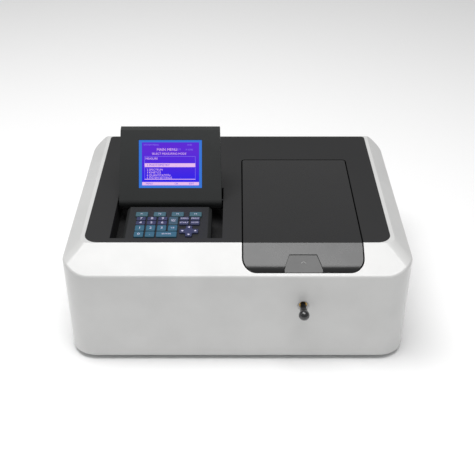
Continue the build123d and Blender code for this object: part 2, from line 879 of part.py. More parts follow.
def cell_block(y_mid, length, pocket_ys, low_z):
    """Block with square cell pockets and a beam bore through each."""
    with BuildPart() as block:
        with BuildSketch(Plane.XY.offset(low_z)):
            with Locations((rod_x, y_mid)):
                Rectangle(carriage_w, length)
        extrude(amount=carriage_top - low_z)
        chamfer(block.faces().sort_by(Axis.Z)[-1].edges(), 0.8)
        with BuildSketch(Plane.XY.offset(cell_z)):
            with Locations(*[(rod_x, y) for y in pocket_ys]):
                Rectangle(cell_side + 2 * cell_gap, cell_side + 2 * cell_gap)
        extrude(amount=top_z, mode=Mode.SUBTRACT)
        with BuildSketch(Plane.YZ.offset(rod_x)):
            with Locations(*[(y, beam_z) for y in pocket_ys]):
                Circle(port_r * 0.6)
        extrude(amount=carriage_w, both=True, mode=Mode.SUBTRACT)
    return block.part


with BuildPart() as cell_carriage:
    add(cell_block(carriage_y, carriage_back - carriage_front, cell_ys, carriage_z))
    with BuildSketch(Plane.XY.offset(carriage_z)):
        with Locations((rod_x, carriage_y)):
            Rectangle(2 * rail_x - rail_w - 2 * carriage_gap, carriage_back - carriage_front)
    extrude(amount=-rail_h + 2 * carriage_gap)
    with BuildSketch(Plane.XZ.offset(-carriage_front)):
        with Locations((rod_x, rod_z)):
            Circle(spigot_r + press_gap)
    extrude(amount=-spigot_l, mode=Mode.SUBTRACT)
cell_carriage.part.label = "cell_carriage"
export_step(cell_carriage.part, "parts/cell_carriage.step")

with BuildPart() as reference_holder:
    add(cell_block(beam_ys[1], cell_side + 2 * carriage_end, [beam_ys[1]], carriage_z - carriage_gap))
reference_holder.part.label = "reference_holder"
export_step(reference_holder.part, "parts/reference_holder.step")

with BuildPart() as cuvettes:
    with BuildSketch(Plane.XY.offset(cell_z)):
        with Locations(*[(rod_x, y) for y in cell_ys]):
            Rectangle(cell_side, cell_side)
    extrude(amount=cell_h)
    with BuildSketch(Plane.XY.offset(cell_z + cell_h)):
        with Locations(*[(rod_x, y) for y in cell_ys]):
            Circle(cell_side / 2 - 1)
    extrude(amount=cap_t)
cuvettes.part.label = "cuvettes"
export_step(cuvettes.part, "parts/cuvettes.step")

# Pull rod with its knob, and the bush that guides it between the front wall and the tub
knob_y = front - knob_out
knob_bore = 5.0
knob_bore_y = knob_y + knob_r - knob_bore
collar_r = 5.0
collar_l = 3.0
bush_flange_r = 9.0
bush_flange_t = 2.0
bush_front = front + dimple_deep
bush_back = front + tub_front - tub_wall

with BuildPart() as pull_rod:
    with BuildSketch(Plane.XZ.offset(-carriage_front)):
        with Locations((rod_x, rod_z)):
            Circle(rod_r)
    extrude(amount=carriage_front - knob_bore_y)
    with BuildSketch(Plane.XZ.offset(-carriage_front)):
        with Locations((rod_x, rod_z)):
            Circle(spigot_r)
    extrude(amount=-spigot_l)
pull_rod.part.label = "pull_rod"
export_step(pull_rod.part, "parts/pull_rod.step")

with BuildPart() as pull_knob:
    with Locations((rod_x, knob_y, rod_z)):
        Sphere(knob_r)
    with BuildSketch(Plane.XZ.offset(-knob_y)):
        with Locations((rod_x, rod_z)):
            Circle(collar_r)
    extrude(amount=-knob_r - collar_l)
    with BuildSketch(Plane.XZ.offset(-knob_bore_y)):
        with Locations((rod_x, rod_z)):
            Circle(rod_r + press_gap)
    extrude(amount=-2 * knob_r, mode=Mode.SUBTRACT)
pull_knob.part.label = "pull_knob"
export_step(pull_knob.part, "parts/pull_knob.step")

with BuildPart() as rod_bush:
    with BuildSketch(Plane.XZ.offset(-bush_back)):
        with Locations((rod_x, rod_z)):
            Circle(bush_r)
    extrude(amount=bush_back - bush_front)
    with BuildSketch(Plane.XZ.offset(-front - wall - dimple_boss_t)):
        with Locations((rod_x, rod_z)):
            Circle(bush_flange_r)
    extrude(amount=-bush_flange_t)
    with BuildSketch(Plane.XZ.offset(-bush_back)):
        with Locations((rod_x, rod_z)):
            Circle(rod_r + run_gap)
    extrude(amount=bush_back - bush_front, mode=Mode.SUBTRACT)
rod_bush.part.label = "rod_bush"
export_step(rod_bush.part, "parts/rod_bush.step")

# Rear panel: a sheet behind the casing's rear opening, with grille, cut-outs and louvre slots
rear_lap = 8.0
panel_y = rear_y - rear_t
fan_x = -65.0
fan_h = 60.0
fan_side = 80.0
fan_t = 25.0
fan_bore_r = 37.0
grille_r = 3.2
inlet_x = 150.0
inlet_h = 48.0
inlet_w = 30.0
inlet_l = 52.0
inlet_lap = 2.0
inlet_flange_t = 2.5
inlet_deep = 24.0
data_x = -175.0
data_w = 31.0
data_h = 11.0
board_h = 6.0
board_t = 1.6
board_z = floor_z + board_h
data_z = board_z + board_t + data_h / 2
louvre_x = 60.0

with BuildPart() as rear_panel:
    with BuildSketch(Plane.XZ.offset(-rear_y)):
        with Locations((0, (floor_z + under + rear_open_h + rear_lap) / 2)):
            Rectangle(rear_open_w + 2 * rear_lap, under + rear_open_h + rear_lap - floor_z)
        with Locations((fan_x, under + fan_h)):
            for ring in (1, 2, 3):
                with PolarLocations(ring * fan_bore_r * 0.29, 6 * ring):
                    Circle(grille_r, mode=Mode.SUBTRACT)
        with Locations((inlet_x, under + inlet_h)):
            Rectangle(inlet_w - 2 * inlet_lap + seat_gap, inlet_l - 2 * inlet_lap + seat_gap, mode=Mode.SUBTRACT)
        with Locations((data_x, data_z)):
            Rectangle(data_w + 2 * seat_gap, data_h + 2 * seat_gap, mode=Mode.SUBTRACT)
        with Locations((louvre_x, under + fan_h)):
            with GridLocations(vent_pitch, 1, vent_count, 1):
                SlotOverall(vent_l, vent_w, rotation=90, mode=Mode.SUBTRACT)
    extrude(amount=rear_t)
rear_panel.part.label = "rear_panel"
export_step(rear_panel.part, "parts/rear_panel.step")

# Mains inlet module with the socket below and the rocker's opening above
socket_w = 24.4
socket_h = 16.8
socket_in = 15.0
socket_drop = 13.0
rocker_w = 18.0
rocker_h = 12.5
rocker_rise = 13.5
rocker_in = 12.0
rocker_pin_r = 1.2
rocker_tilt = 8.0
rocker_face = 4.0
rocker_y = rear_y - 2.0
socket_z = under + inlet_h - socket_drop
rocker_z = under + inlet_h + rocker_rise

with BuildPart() as mains_inlet:
    with BuildSketch(Plane.XZ.offset(-rear_y - inlet_flange_t)):
        with Locations((inlet_x, under + inlet_h)):
            RectangleRounded(inlet_w, inlet_l, 2.0)
    extrude(amount=inlet_flange_t)
    with BuildSketch(Plane.XZ.offset(-rear_y)):
        with Locations((inlet_x, under + inlet_h)):
            Rectangle(inlet_w - 2 * inlet_lap, inlet_l - 2 * inlet_lap)
    extrude(amount=inlet_deep)
    with BuildSketch(Plane.XZ.offset(-rear_y - inlet_flange_t)) as cavity:
        with Locations((inlet_x, socket_z)):
            Rectangle(socket_w, socket_h)
        chamfer(cavity.vertices().group_by(Axis.Y)[-1], 4.0)
    extrude(amount=inlet_flange_t + socket_in, mode=Mode.SUBTRACT)
    with BuildSketch(Plane.XZ.offset(-rear_y - inlet_flange_t)):
        with Locations((inlet_x, rocker_z)):
            Rectangle(rocker_w + 2, rocker_h + 2)
    extrude(amount=inlet_flange_t + rocker_in, mode=Mode.SUBTRACT)
    with BuildSketch(Plane.XZ.offset(-rear_y + socket_in + wall)):
        with Locations((inlet_x - 7, socket_z - 2), (inlet_x + 7, socket_z - 2), (inlet_x, socket_z + 2)):
            Rectangle(2, 4)
    extrude(amount=-socket_in)
    with BuildSketch(Plane.YZ.offset(inlet_x)):
        with Locations((rocker_y, rocker_z)):
            Circle(rocker_pin_r)
    extrude(amount=rocker_w / 2 + 1, both=True)
mains_inlet.part.label = "mains_inlet"
export_step(mains_inlet.part, "parts/mains_inlet.step")

# Power switch rocker, drawn tipped to its off side
rocker_lean = math.radians(rocker_tilt)
rocker_side = Plane(
    origin=(inlet_x, rocker_y, rocker_z),
    x_dir=(0, math.cos(rocker_lean), math.sin(rocker_lean)),
    z_dir=(1, 0, 0),
)
with BuildPart() as power_switch:
    with BuildSketch(rocker_side):
        with BuildLine():
            Polyline((-rocker_face, -rocker_h / 2 + 1), (0, -rocker_h / 2), (rocker_face, -rocker_h / 2))
            ThreePointArc((rocker_face, -rocker_h / 2), (rocker_face - 1.2, 0), (rocker_face, rocker_h / 2))
            Polyline((rocker_face, rocker_h / 2), (0, rocker_h / 2), (-rocker_face, rocker_h / 2 - 1))
            Line((-rocker_face, rocker_h / 2 - 1), (-rocker_face, -rocker_h / 2 + 1))
        make_face()
        Circle(rocker_pin_r + run_gap, mode=Mode.SUBTRACT)
    extrude(amount=rocker_w / 2, both=True)
power_switch.part.label = "power_switch"
export_step(power_switch.part, "parts/power_switch.step")

# Cooling fan: square frame with a strutted hub, and a bladed rotor on the hub's bearing
fan_z = under + fan_h
hub_r = 16.0
strut_t = 3.0
strut_w = 4.0
fan_shaft_r = 2.0
blade_count = 7
blade_chord = 20.0
blade_t = 1.6
blade_pitch = 38.0
tip_gap = 1.2
frame_hole_r = 2.2
frame_hole_pitch = 71.5

with BuildPart() as fan_frame:
    with BuildSketch(Plane.XZ.offset(-panel_y)):
        with Locations((fan_x, fan_z)):
            RectangleRounded(fan_side, fan_side, 4.0)
            with GridLocations(frame_hole_pitch, frame_hole_pitch, 2, 2):
                Circle(frame_hole_r, mode=Mode.SUBTRACT)
            Circle(fan_bore_r, mode=Mode.SUBTRACT)
    extrude(amount=fan_t)
    with BuildSketch(Plane.XZ.offset(-panel_y)):
        with Locations((fan_x, fan_z)):
            Rectangle(2 * fan_bore_r + 1, strut_w)
            Rectangle(strut_w, 2 * fan_bore_r + 1)
            Circle(hub_r)
            Circle(fan_shaft_r + run_gap, mode=Mode.SUBTRACT)
    extrude(amount=strut_t)
fan_frame.part.label = "fan_frame"
export_step(fan_frame.part, "parts/fan_frame.step")

rotor_back_y = panel_y - strut_t - seat_gap
rotor_l = fan_t - strut_t - 2.0
with BuildPart() as fan_rotor:
    with BuildSketch(Plane.XZ.offset(-rotor_back_y)):
        with Locations((fan_x, fan_z)):
            Circle(hub_r)
    extrude(amount=rotor_l)
    fillet(fan_rotor.edges().group_by(Axis.Y)[0], 2.0)
    with BuildSketch(Plane.XZ.offset(-panel_y)):
        with Locations((fan_x, fan_z)):
            Circle(fan_shaft_r)
    extrude(amount=fan_t / 2)
    for number in range(blade_count):
        turn = 2 * math.pi * number / blade_count
        outward = Vector(math.cos(turn), 0, math.sin(turn))
        around = Vector(-math.sin(turn), 0, math.cos(turn))
        lean = math.radians(blade_pitch)
        chord = around * math.cos(lean) + Vector(0, math.sin(lean), 0)
        root = Vector(fan_x, rotor_back_y - rotor_l / 2, fan_z) + outward * (hub_r - 2.5)
        with BuildSketch(Plane(origin=root, x_dir=chord, z_dir=outward)):
            Rectangle(blade_chord, blade_t)
        extrude(amount=fan_bore_r - tip_gap - 2.0 - hub_r + 2.5)
fan_rotor.part.label = "fan_rotor"
export_step(fan_rotor.part, "parts/fan_rotor.step")

# Power supply: a vented sheet box on the base
supply_x = 66.0
supply_w = 108.0
supply_front = 266.0
supply_back = 350.0
supply_h = 58.0
sheet_t = 1.2
supply_y = front + (supply_front + supply_back) / 2
supply_d = supply_back - supply_front

with BuildPart() as power_supply:
    with BuildSketch(Plane.XY.offset(floor_z)):
        with Locations((supply_x, supply_y)):
            Rectangle(supply_w, supply_d)
    extrude(amount=supply_h)
    with BuildSketch(Plane.XY.offset(floor_z + sheet_t)):
        with Locations((supply_x, supply_y)):
            Rectangle(supply_w - 2 * sheet_t, supply_d - 2 * sheet_t)
    extrude(amount=supply_h - 2 * sheet_t, mode=Mode.SUBTRACT)
    with BuildSketch(Plane.XY.offset(floor_z + supply_h)):
        with Locations((supply_x, supply_y)):
            with GridLocations(vent_pitch, 1, vent_count, 1):
                SlotOverall(vent_l, vent_w, rotation=90)
    extrude(amount=-2 * sheet_t, mode=Mode.SUBTRACT)
power_supply.part.label = "power_supply"
export_step(power_supply.part, "parts/power_supply.step")

# Main board on its standoffs, with chips, capacitors and the data connector that reaches through the rear
board_x = -170.0
board_w = 80.0
board_front = 262.0
board_back_y = panel_y - 1.0
board_d = board_back_y - front - board_front
board_y = board_back_y - board_d / 2

with BuildPart() as main_board:
    with BuildSketch(Plane.XY.offset(board_z)):
        with Locations((board_x, board_y)):
            Rectangle(board_w, board_d)
    extrude(amount=board_t)
    with BuildSketch(Plane.XY.offset(floor_z)):
        with Locations((board_x, board_y)):
            with GridLocations(board_w - 12, board_d - 12, 2, 2):
                Circle(3)
    extrude(amount=board_h)
    with BuildSketch(Plane.XY.offset(board_z + board_t)):
        with Locations((board_x, board_y)):
            with GridLocations(26, 24, 3, 2):
                Rectangle(16, 12)
    extrude(amount=3)
    with BuildSketch(Plane.XY.offset(board_z + board_t)):
        with Locations((board_x + board_w / 2 - 8, board_y + 22), (board_x + board_w / 2 - 8, board_y + 36)):
            Circle(5)
    extrude(amount=14)
    with BuildSketch(Plane.XZ.offset(-rear_y)):
        with Locations((data_x, data_z)):
            Rectangle(data_w, data_h)
    extrude(amount=16)
    with BuildSketch(Plane.XZ.offset(-rear_y)):
        with Locations((data_x, data_z)):
            SlotOverall(data_w - 8, data_h - 4)
    extrude(amount=5, mode=Mode.SUBTRACT)
main_board.part.label = "main_board"
export_step(main_board.part, "parts/main_board.step")

# Lamp house: an open-topped box behind the monochromator, with pin for the source mirror
lamp_x = -60.0
house_w = 116.0
house_front = 250.0
house_back = 330.0
house_wall = 2.0
house_floor_t = 3.0
house_h = 108.0
lamp_step = 36.0
lamp_y = front + (house_front + house_back) / 2
house_floor_z = floor_z + house_floor_t
source_pin_r = 3.0
source_pin_h = 8.0
beam_bore_r = 6.0

with BuildPart() as lamp_house:
    with BuildSketch(Plane.XY.offset(floor_z)):
        with Locations((lamp_x, lamp_y)):
            Rectangle(house_w, house_back - house_front)
    extrude(amount=house_h)
    with BuildSketch(Plane.XY.offset(house_floor_z)):
        with Locations((lamp_x, lamp_y)):
            Rectangle(house_w - 2 * house_wall, house_back - house_front - 2 * house_wall)
    extrude(amount=house_h, mode=Mode.SUBTRACT)
    with BuildSketch(Plane.XZ.offset(-lamp_y)):
        with Locations((lamp_x, beam_z)):
            Circle(beam_bore_r)
    extrude(amount=house_w, mode=Mode.SUBTRACT)
    with BuildSketch(Plane.XZ.offset(-lamp_y)):
        with Locations((fan_x, fan_z)):
            Circle(fan_bore_r - 2)
    extrude(amount=-house_w, mode=Mode.SUBTRACT)
    with BuildSketch(Plane.XY.offset(house_floor_z)):
        with Locations((lamp_x, lamp_y)):
            Circle(source_pin_r)
    extrude(amount=source_pin_h)
lamp_house.part.label = "lamp_house"
export_step(lamp_house.part, "parts/lamp_house.step")


def lamp(x, socket, bulb, neck_z, top):
    """A lamp standing in the lamp house: its socket and a round-topped bulb."""
    with BuildPart() as body:
        with BuildSketch(Plane.XZ.offset(-lamp_y)):
            with BuildLine():
                Polyline(
                    (x, house_floor_z),
                    (x + socket, house_floor_z),
                    (x + socket, neck_z),
                    (x + bulb, neck_z),
                    (x + bulb, top - bulb),
                )
                ThreePointArc(
                    (x + bulb, top - bulb),
                    (x + bulb * math.sqrt(0.5), top - bulb * (1 - math.sqrt(0.5))),
                    (x, top),
                )
                Line((x, top), (x, house_floor_z))
            make_face()
        revolve(axis=Axis((x, lamp_y, 0), (0, 0, 1)))
    return body.part


deuterium_lamp = lamp(lamp_x - lamp_step, 16.0, 14.0, beam_z - 26, beam_z + 26)
deuterium_lamp.label = "deuterium_lamp"
export_step(deuterium_lamp, "parts/deuterium_lamp.step")
tungsten_lamp = lamp(lamp_x + lamp_step, 10.0, 6.0, beam_z - 12, beam_z + 14)
tungsten_lamp.label = "tungsten_lamp"
export_step(tungsten_lamp, "parts/tungsten_lamp.step")

# Source mirror on its pin: it swings to pick one lamp or the other
mirror_side = 24.0
mirror_t = 3.0
source_hub_r = 7.0
source_hub_z = house_floor_z + seat_gap
with BuildPart() as source_mirror:
    with BuildSketch(Plane.XY.offset(source_hub_z)):
        with Locations((lamp_x, lamp_y)):
            Circle(source_hub_r)
    extrude(amount=beam_z - mirror_side / 2 - source_hub_z)
    with BuildSketch(Plane.XY.offset(beam_z - mirror_side / 2)):
        with Locations((lamp_x, lamp_y)):
            Rectangle(mirror_side, mirror_t, rotation=45)
    extrude(amount=mirror_side)
    with BuildSketch(Plane.XY.offset(source_hub_z)):
        with Locations((lamp_x, lamp_y)):
            Circle(source_pin_r + run_gap)
    extrude(amount=source_pin_h, mode=Mode.SUBTRACT)
source_mirror.part.label = "source_mirror"
export_step(source_mirror.part, "parts/source_mirror.step")

# Monochromator: a ribbed casting on four legs, open above, with slit, beam ports and the wheel's pin
mono_left = -222.0
mono_right = -8.0
mono_front = 40.0
mono_back = 238.0
mono_h = 26.0
mono_top = 112.0
mono_wall = 4.0
mono_x = (mono_left + mono_right) / 2
mono_w = mono_right - mono_left
mono_y = front + (mono_front + mono_back) / 2
mono_d = mono_back - mono_front
mono_z = under + mono_h
mono_floor_z = mono_z + mono_wall
grating_x = -160.0
grating_y = front + 150.0
motor_side = 42.0
motor_shaft_r = 2.5
wheel_r = 30.0
wheel_t = 4.0
wheel_step = 20.0
wheel_hole_r = 5.5
wheel_pin_r = 3.0
wheel_x = lamp_x - wheel_step
wheel_y = front + 226.0
wheel_hub_r = 7.0
mono_inner_y = front + mono_back - mono_wall

with BuildPart() as monochromator:
    with BuildSketch(Plane.XY.offset(mono_z)):
        with Locations((mono_x, mono_y)):
            RectangleRounded(mono_w, mono_d, 10.0)
    extrude(amount=mono_top - mono_h)
    with BuildSketch(Plane.XY.offset(mono_floor_z)):
        with Locations((mono_x, mono_y)):
            RectangleRounded(mono_w - 2 * mono_wall, mono_d - 2 * mono_wall, 6.0)
    extrude(amount=mono_top, mode=Mode.SUBTRACT)
    with BuildSketch(Plane.XY.offset(floor_z)):
        with Locations((mono_x, mono_y)):
            with GridLocations(mono_w - 24, mono_d - 24, 2, 2):
                Circle(7)
    extrude(amount=mono_z - floor_z)
    with BuildSketch(Plane.YZ.offset(mono_right)):
        with Locations(*[(y, beam_z) for y in beam_ys]):
            Circle(beam_bore_r)
    extrude(amount=-2 * mono_wall, mode=Mode.SUBTRACT)
    with BuildSketch(Plane.XZ.offset(-mono_inner_y - mono_wall)):
        with Locations((lamp_x, beam_z)):
            SlotOverall(2 * beam_bore_r, 3.0, rotation=90)
    extrude(amount=2 * mono_wall, mode=Mode.SUBTRACT)
    with BuildSketch(Plane.XY.offset(mono_z)):
        with Locations((grating_x, grating_y)):
            Circle(motor_shaft_r + 1)
    extrude(amount=mono_wall, mode=Mode.SUBTRACT)
    with BuildSketch(Plane.XZ.offset(-mono_inner_y)):
        with Locations((wheel_x, beam_z)):
            Circle(wheel_pin_r)
    extrude(amount=mono_inner_y - wheel_y + wheel_t)
monochromator.part.label = "monochromator"
export_step(monochromator.part, "parts/monochromator.step")

# Wavelength motor under the casting's floor, its shaft up into the grating's turntable
table_z = mono_floor_z + 1.0
table_r = 20.0
table_t = 6.0
grating_side = 30.0
grating_t = 8.0
table_hub_r = 8.0
shaft_top = table_z + table_t
with BuildPart() as wavelength_motor:
    with BuildSketch(Plane.XY.offset(floor_z)):
        with Locations((grating_x, grating_y)):
            Rectangle(motor_side, motor_side)
    extrude(amount=mono_z - floor_z)
    chamfer(wavelength_motor.edges().filter_by(Axis.Z), 4.0)
    with BuildSketch(Plane.XY.offset(mono_z)):
        with Locations((grating_x, grating_y)):
            Circle(motor_shaft_r)
    extrude(amount=shaft_top - mono_z)
wavelength_motor.part.label = "wavelength_motor"
export_step(wavelength_motor.part, "parts/wavelength_motor.step")

with BuildPart() as grating:
    with BuildSketch(Plane.XY.offset(table_z)):
        with Locations((grating_x, grating_y)):
            Circle(table_r)
    extrude(amount=table_t)
    with BuildSketch(Plane.XY.offset(table_z)):
        with Locations((grating_x, grating_y)):
            Circle(table_hub_r)
    extrude(amount=beam_z - grating_side / 2 - table_z)
    with BuildSketch(Plane.XY.offset(beam_z - grating_side / 2)):
        with Locations((grating_x, grating_y)):
            Rectangle(grating_side, grating_t, rotation=15)
    extrude(amount=grating_side)
    with BuildSketch(Plane.XY.offset(table_z)):
        with Locations((grating_x, grating_y)):
            Circle(motor_shaft_r + run_gap)
    extrude(amount=table_t + seat_gap, mode=Mode.SUBTRACT)
grating.part.label = "grating"
export_step(grating.part, "parts/grating.step")

# Filter wheel on the pin beside the entrance slit
with BuildPart() as filter_wheel:
    with BuildSketch(Plane.XZ.offset(-wheel_y)):
        with Locations((wheel_x, beam_z)):
            Circle(wheel_r)
            with PolarLocations(wheel_step, 6):
                Circle(wheel_hole_r, mode=Mode.SUBTRACT)
    extrude(amount=wheel_t)
    with BuildSketch(Plane.XZ.offset(-mono_inner_y + seat_gap)):
        with Locations((wheel_x, beam_z)):
            Circle(wheel_hub_r)
    extrude(amount=mono_inner_y - seat_gap - wheel_y + wheel_t)
    with BuildSketch(Plane.XZ.offset(-mono_inner_y)):
        with Locations((wheel_x, beam_z)):
            Circle(wheel_pin_r + run_gap)
    extrude(amount=mono_d, mode=Mode.SUBTRACT)
filter_wheel.part.label = "filter_wheel"
export_step(filter_wheel.part, "parts/filter_wheel.step")

# Four mirrors on posts: collimating, focusing, and the two that send out the beams
disc_r = 18.0
disc_t = 6.0
post_w = 12.0
mirror_places = [(lamp_x, 66.0, 112.0), (-194.0, 66.0, 68.0), (-100.0, beam_front, 45.0), (-100.0, 196.0, 45.0)]
with BuildPart() as mirrors:
    for x, y_in, facing in mirror_places:
        look = Vector(math.cos(math.radians(facing)), math.sin(math.radians(facing)), 0)
        centre = Vector(x, front + y_in, beam_z)
        with BuildSketch(Plane(origin=centre, x_dir=(0, 0, 1), z_dir=look)):
            Circle(disc_r)
        extrude(amount=disc_t / 2, both=True)
        with BuildSketch(Plane.XY.offset(mono_floor_z)):
            with Locations((x, front + y_in)):
                Rectangle(disc_t, post_w, rotation=facing)
        extrude(amount=beam_z - disc_r / 2 - mono_floor_z)
mirrors.part.label = "mirrors"
export_step(mirrors.part, "parts/mirrors.step")

# Two detectors right of the sample compartment, each a can on a foot
can_r = 13.0
can_l = 24.0
can_x = lid_x + tub_w / 2 + tub_wall + 1.0
with BuildPart() as detectors:
    for y in beam_ys:
        with BuildSketch(Plane.YZ.offset(can_x)):
            with Locations((y, beam_z)):
                Circle(can_r)
        extrude(amount=can_l)
        with BuildSketch(Plane.XY.offset(floor_z)):
            with Locations((can_x + can_l / 2, y)):
                Rectangle(can_l / 2, can_r)
        extrude(amount=beam_z - floor_z)
        with BuildSketch(Plane.XY.offset(floor_z)):
            with Locations((can_x + can_l / 2, y)):
                Rectangle(can_l, 2 * can_r)
        extrude(amount=wall)
detectors.part.label = "detectors"
export_step(detectors.part, "parts/detectors.step")
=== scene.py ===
"""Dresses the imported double-beam spectrophotometer and sets its stage.

Everything is in metres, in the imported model's frame: X to the right, Y to the
rear, Z up from the bench.
"""
import math

import bmesh
import bpy
from mathutils import Matrix, Vector


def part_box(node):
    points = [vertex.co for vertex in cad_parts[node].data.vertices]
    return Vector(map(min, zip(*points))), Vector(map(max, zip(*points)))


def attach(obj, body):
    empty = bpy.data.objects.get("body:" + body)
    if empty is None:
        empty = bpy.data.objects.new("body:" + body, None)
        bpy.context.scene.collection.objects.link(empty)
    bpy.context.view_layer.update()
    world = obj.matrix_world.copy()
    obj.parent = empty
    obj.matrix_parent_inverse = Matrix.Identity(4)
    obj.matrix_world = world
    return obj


bl_info = {
    "name": "Spectrophotometer Dresser",
    "version": (1, 0, 0),
    "blender": (4, 5, 0),
    "location": "View3D > Sidebar > Spectro",
    "description": "Materials, legends, fittings and stage of a double-beam spectrophotometer",
    "category": "Object",
}

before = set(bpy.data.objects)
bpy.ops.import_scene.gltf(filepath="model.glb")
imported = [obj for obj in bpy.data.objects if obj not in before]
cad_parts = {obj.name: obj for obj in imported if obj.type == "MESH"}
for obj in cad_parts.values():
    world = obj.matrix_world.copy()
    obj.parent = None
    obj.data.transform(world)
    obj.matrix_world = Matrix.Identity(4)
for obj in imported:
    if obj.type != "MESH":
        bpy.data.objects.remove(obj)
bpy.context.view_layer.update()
MM = 0.001

# The casing's front wall, and the slope above it
FRONT_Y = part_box("upper_shell")[0][1]
SLOPE_FOOT_Z = 145.8 * MM
SLOPE_DEPTH = 44.5 * MM
SLOPE_RISE = 25.0 * MM

# The display head's hinge line, its lean, and how far the screen lies out from it
HEAD_PIVOT = Vector((-98.0 * MM, -8.875 * MM, 167.0 * MM))
HEAD_TILT = math.radians(57.0)
HEAD_UP = Vector((0.0, math.cos(HEAD_TILT), math.sin(HEAD_TILT)))
HEAD_OUT = Vector((0.0, -math.sin(HEAD_TILT), math.cos(HEAD_TILT)))
SCREEN_OUT = 10.0 * MM
SCREEN_LOW = 17.6 * MM
SCREEN_WIDTH = 92.3 * MM
SCREEN_HEIGHT = 70.1 * MM
SCREEN_GAP = 0.2 * MM

# The field inside the screen's border, and how thick the page's layers are
FIELD_CENTRE = (0.2 * MM, 35.2 * MM)
FIELD_SIZE = (83.6 * MM, 63.0 * MM)
LAYER = 0.05 * MM
PAGE_INK = 0.04 * MM
LEGEND_INK = 0.05 * MM

# The page's colours, by their place among the screen's materials
BORDER, FIELD, BRIGHT, DIM = range(4)

# The page's bars in mm: middle across, middle up, width, height and colour
PAGE_BARS = (
    (-0.6, 33.4, 74.3, 5.6, BRIGHT),
    (-0.6, 12.9, 74.3, 0.9, BRIGHT),
    (-0.6, 46.2, 74.3, 0.5, DIM),
    (-37.6, 29.5, 0.5, 33.2, DIM),
    (36.4, 29.5, 0.5, 33.2, DIM),
    (0.2, 6.4, 83.0, 4.8, BRIGHT),
)

# The page's lines in mm: words, left end, middle up, letter height and colour
PAGE_LINES = (
    ("SYSTEM MENU", -39.0, 63.0, 2.4, DIM),
    ("10:30", 24.0, 63.0, 2.4, DIM),
    ("MAIN MENU", -20.0, 56.0, 3.8, BRIGHT),
    ("READY", 3.0, 56.0, 2.8, DIM),
    ("A 0.000", 22.0, 56.0, 2.4, DIM),
    ("SELECT MEASURING MODE", -27.0, 50.0, 2.9, BRIGHT),
    ("MEASURE", -36.5, 42.9, 3.0, BRIGHT),
    ("2 SPECTRUM", -34.5, 26.6, 2.9, BRIGHT),
    ("3 KINETICS", -34.5, 22.6, 2.9, BRIGHT),
    ("4 QUANTITATION", -34.5, 18.6, 2.9, BRIGHT),
    ("5 SYSTEM SETTINGS", -34.5, 14.9, 2.9, BRIGHT),
)

# The words on its bright bars in mm: words, left end, middle up and letter height
BAR_LINES = (
    ("1 PHOTOMETRY", -34.5, 33.4, 3.2),
    ("MENU", -36.0, 6.4, 2.6),
    ("OK", 6.0, 6.4, 2.6),
    ("EXIT", 27.0, 6.4, 2.6),
)

# The arrows on the cursor pad
ARROW_OUT = 9.0 * MM
ARROW_RADIUS = 2.2 * MM
ARROW_THICK = 0.06 * MM

# The mark on the lid's grip: two embossed strokes that meet in a point, coloured pale grey as a painted
# highlight
MARK_BACK = 19.0 * MM
STROKE_OUT = 1.5 * MM
STROKE_LEAN = math.radians(38.0)
STROKE_LENGTH = 4.6 * MM
STROKE_WIDTH = 0.9 * MM
STROKE_HEIGHT = 0.15 * MM

# The stage, in metres
FLOOR_HALF = 6.0
SENSOR_WIDTH = 36.0
TOP_SOFTBOX = {"place": (-0.15, -0.2, 1.9), "size": (1.9, 1.0)}
LEFT_SOFTBOX = {"place": (-1.9, -0.3, 1.0), "size": (1.0, 1.0)}
AIM = Vector((0.0, 0.0, 0.1))

# A capital's share of the font size, and the step of a wave texture of scale 1
CAPITAL_SHARE = 0.7
WAVE_STEP = math.pi / 10

NUMBER_KEYS = {
    "key_zero": "0",
    "key_one": "1",
    "key_two": "2",
    "key_three": "3",
    "key_four": "4",
    "key_five": "5",
    "key_six": "6",
    "key_seven": "7",
    "key_eight": "8",
    "key_nine": "9",
    "key_point": ".",
}
WORD_KEYS = {
    "key_enter": "ENTER",
    "key_clear": "CE",
    "key_goto": "GO\nTO",
    "key_start": "START",
    "key_stop": "STOP",
    "key_blank": "ZERO",
    "key_print": "PRINT",
    "soft_key_1": "F1",
    "soft_key_2": "F2",
    "soft_key_3": "F3",
    "soft_key_4": "F4",
}


def linear(hex_colour):
    """Turns an sRGB hex colour into linear red, green, blue and alpha."""
    parts = [int(hex_colour[i:i + 2], 16) / 255 for i in (1, 3, 5)]
    return [c / 12.92 if c <= 0.04045 else ((c + 0.055) / 1.055) ** 2.4 for c in parts] + [1.0]


def add(tree, kind, inputs=None, **settings):
    """Adds a node: settings are its own properties, inputs are values or (node, output) links."""
    made = tree.nodes.new(kind)
    for name, value in settings.items():
        setattr(made, name, value)
    for name, value in (inputs or {}).items():
        if isinstance(value, tuple) and isinstance(value[0], bpy.types.Node):
            tree.links.new(value[0].outputs[value[1]], made.inputs[name])
        else:
            made.inputs[name].default_value = value
    return made


def blank_material(name):
    """An empty node material and its object coordinates."""
    material = bpy.data.materials.new(name)
    material.use_nodes = True
    tree = material.node_tree
    tree.nodes.clear()
    coords = add(tree, "ShaderNodeTexCoord")
    return material, tree, (coords, "Object")


def close_material(tree, inputs):
    """Ends a material with a surface shader that takes these inputs."""
    surface = add(tree, "ShaderNodeBsdfPrincipled", inputs)
    add(tree, "ShaderNodeOutputMaterial", {"Surface": (surface, "BSDF")})
    return surface


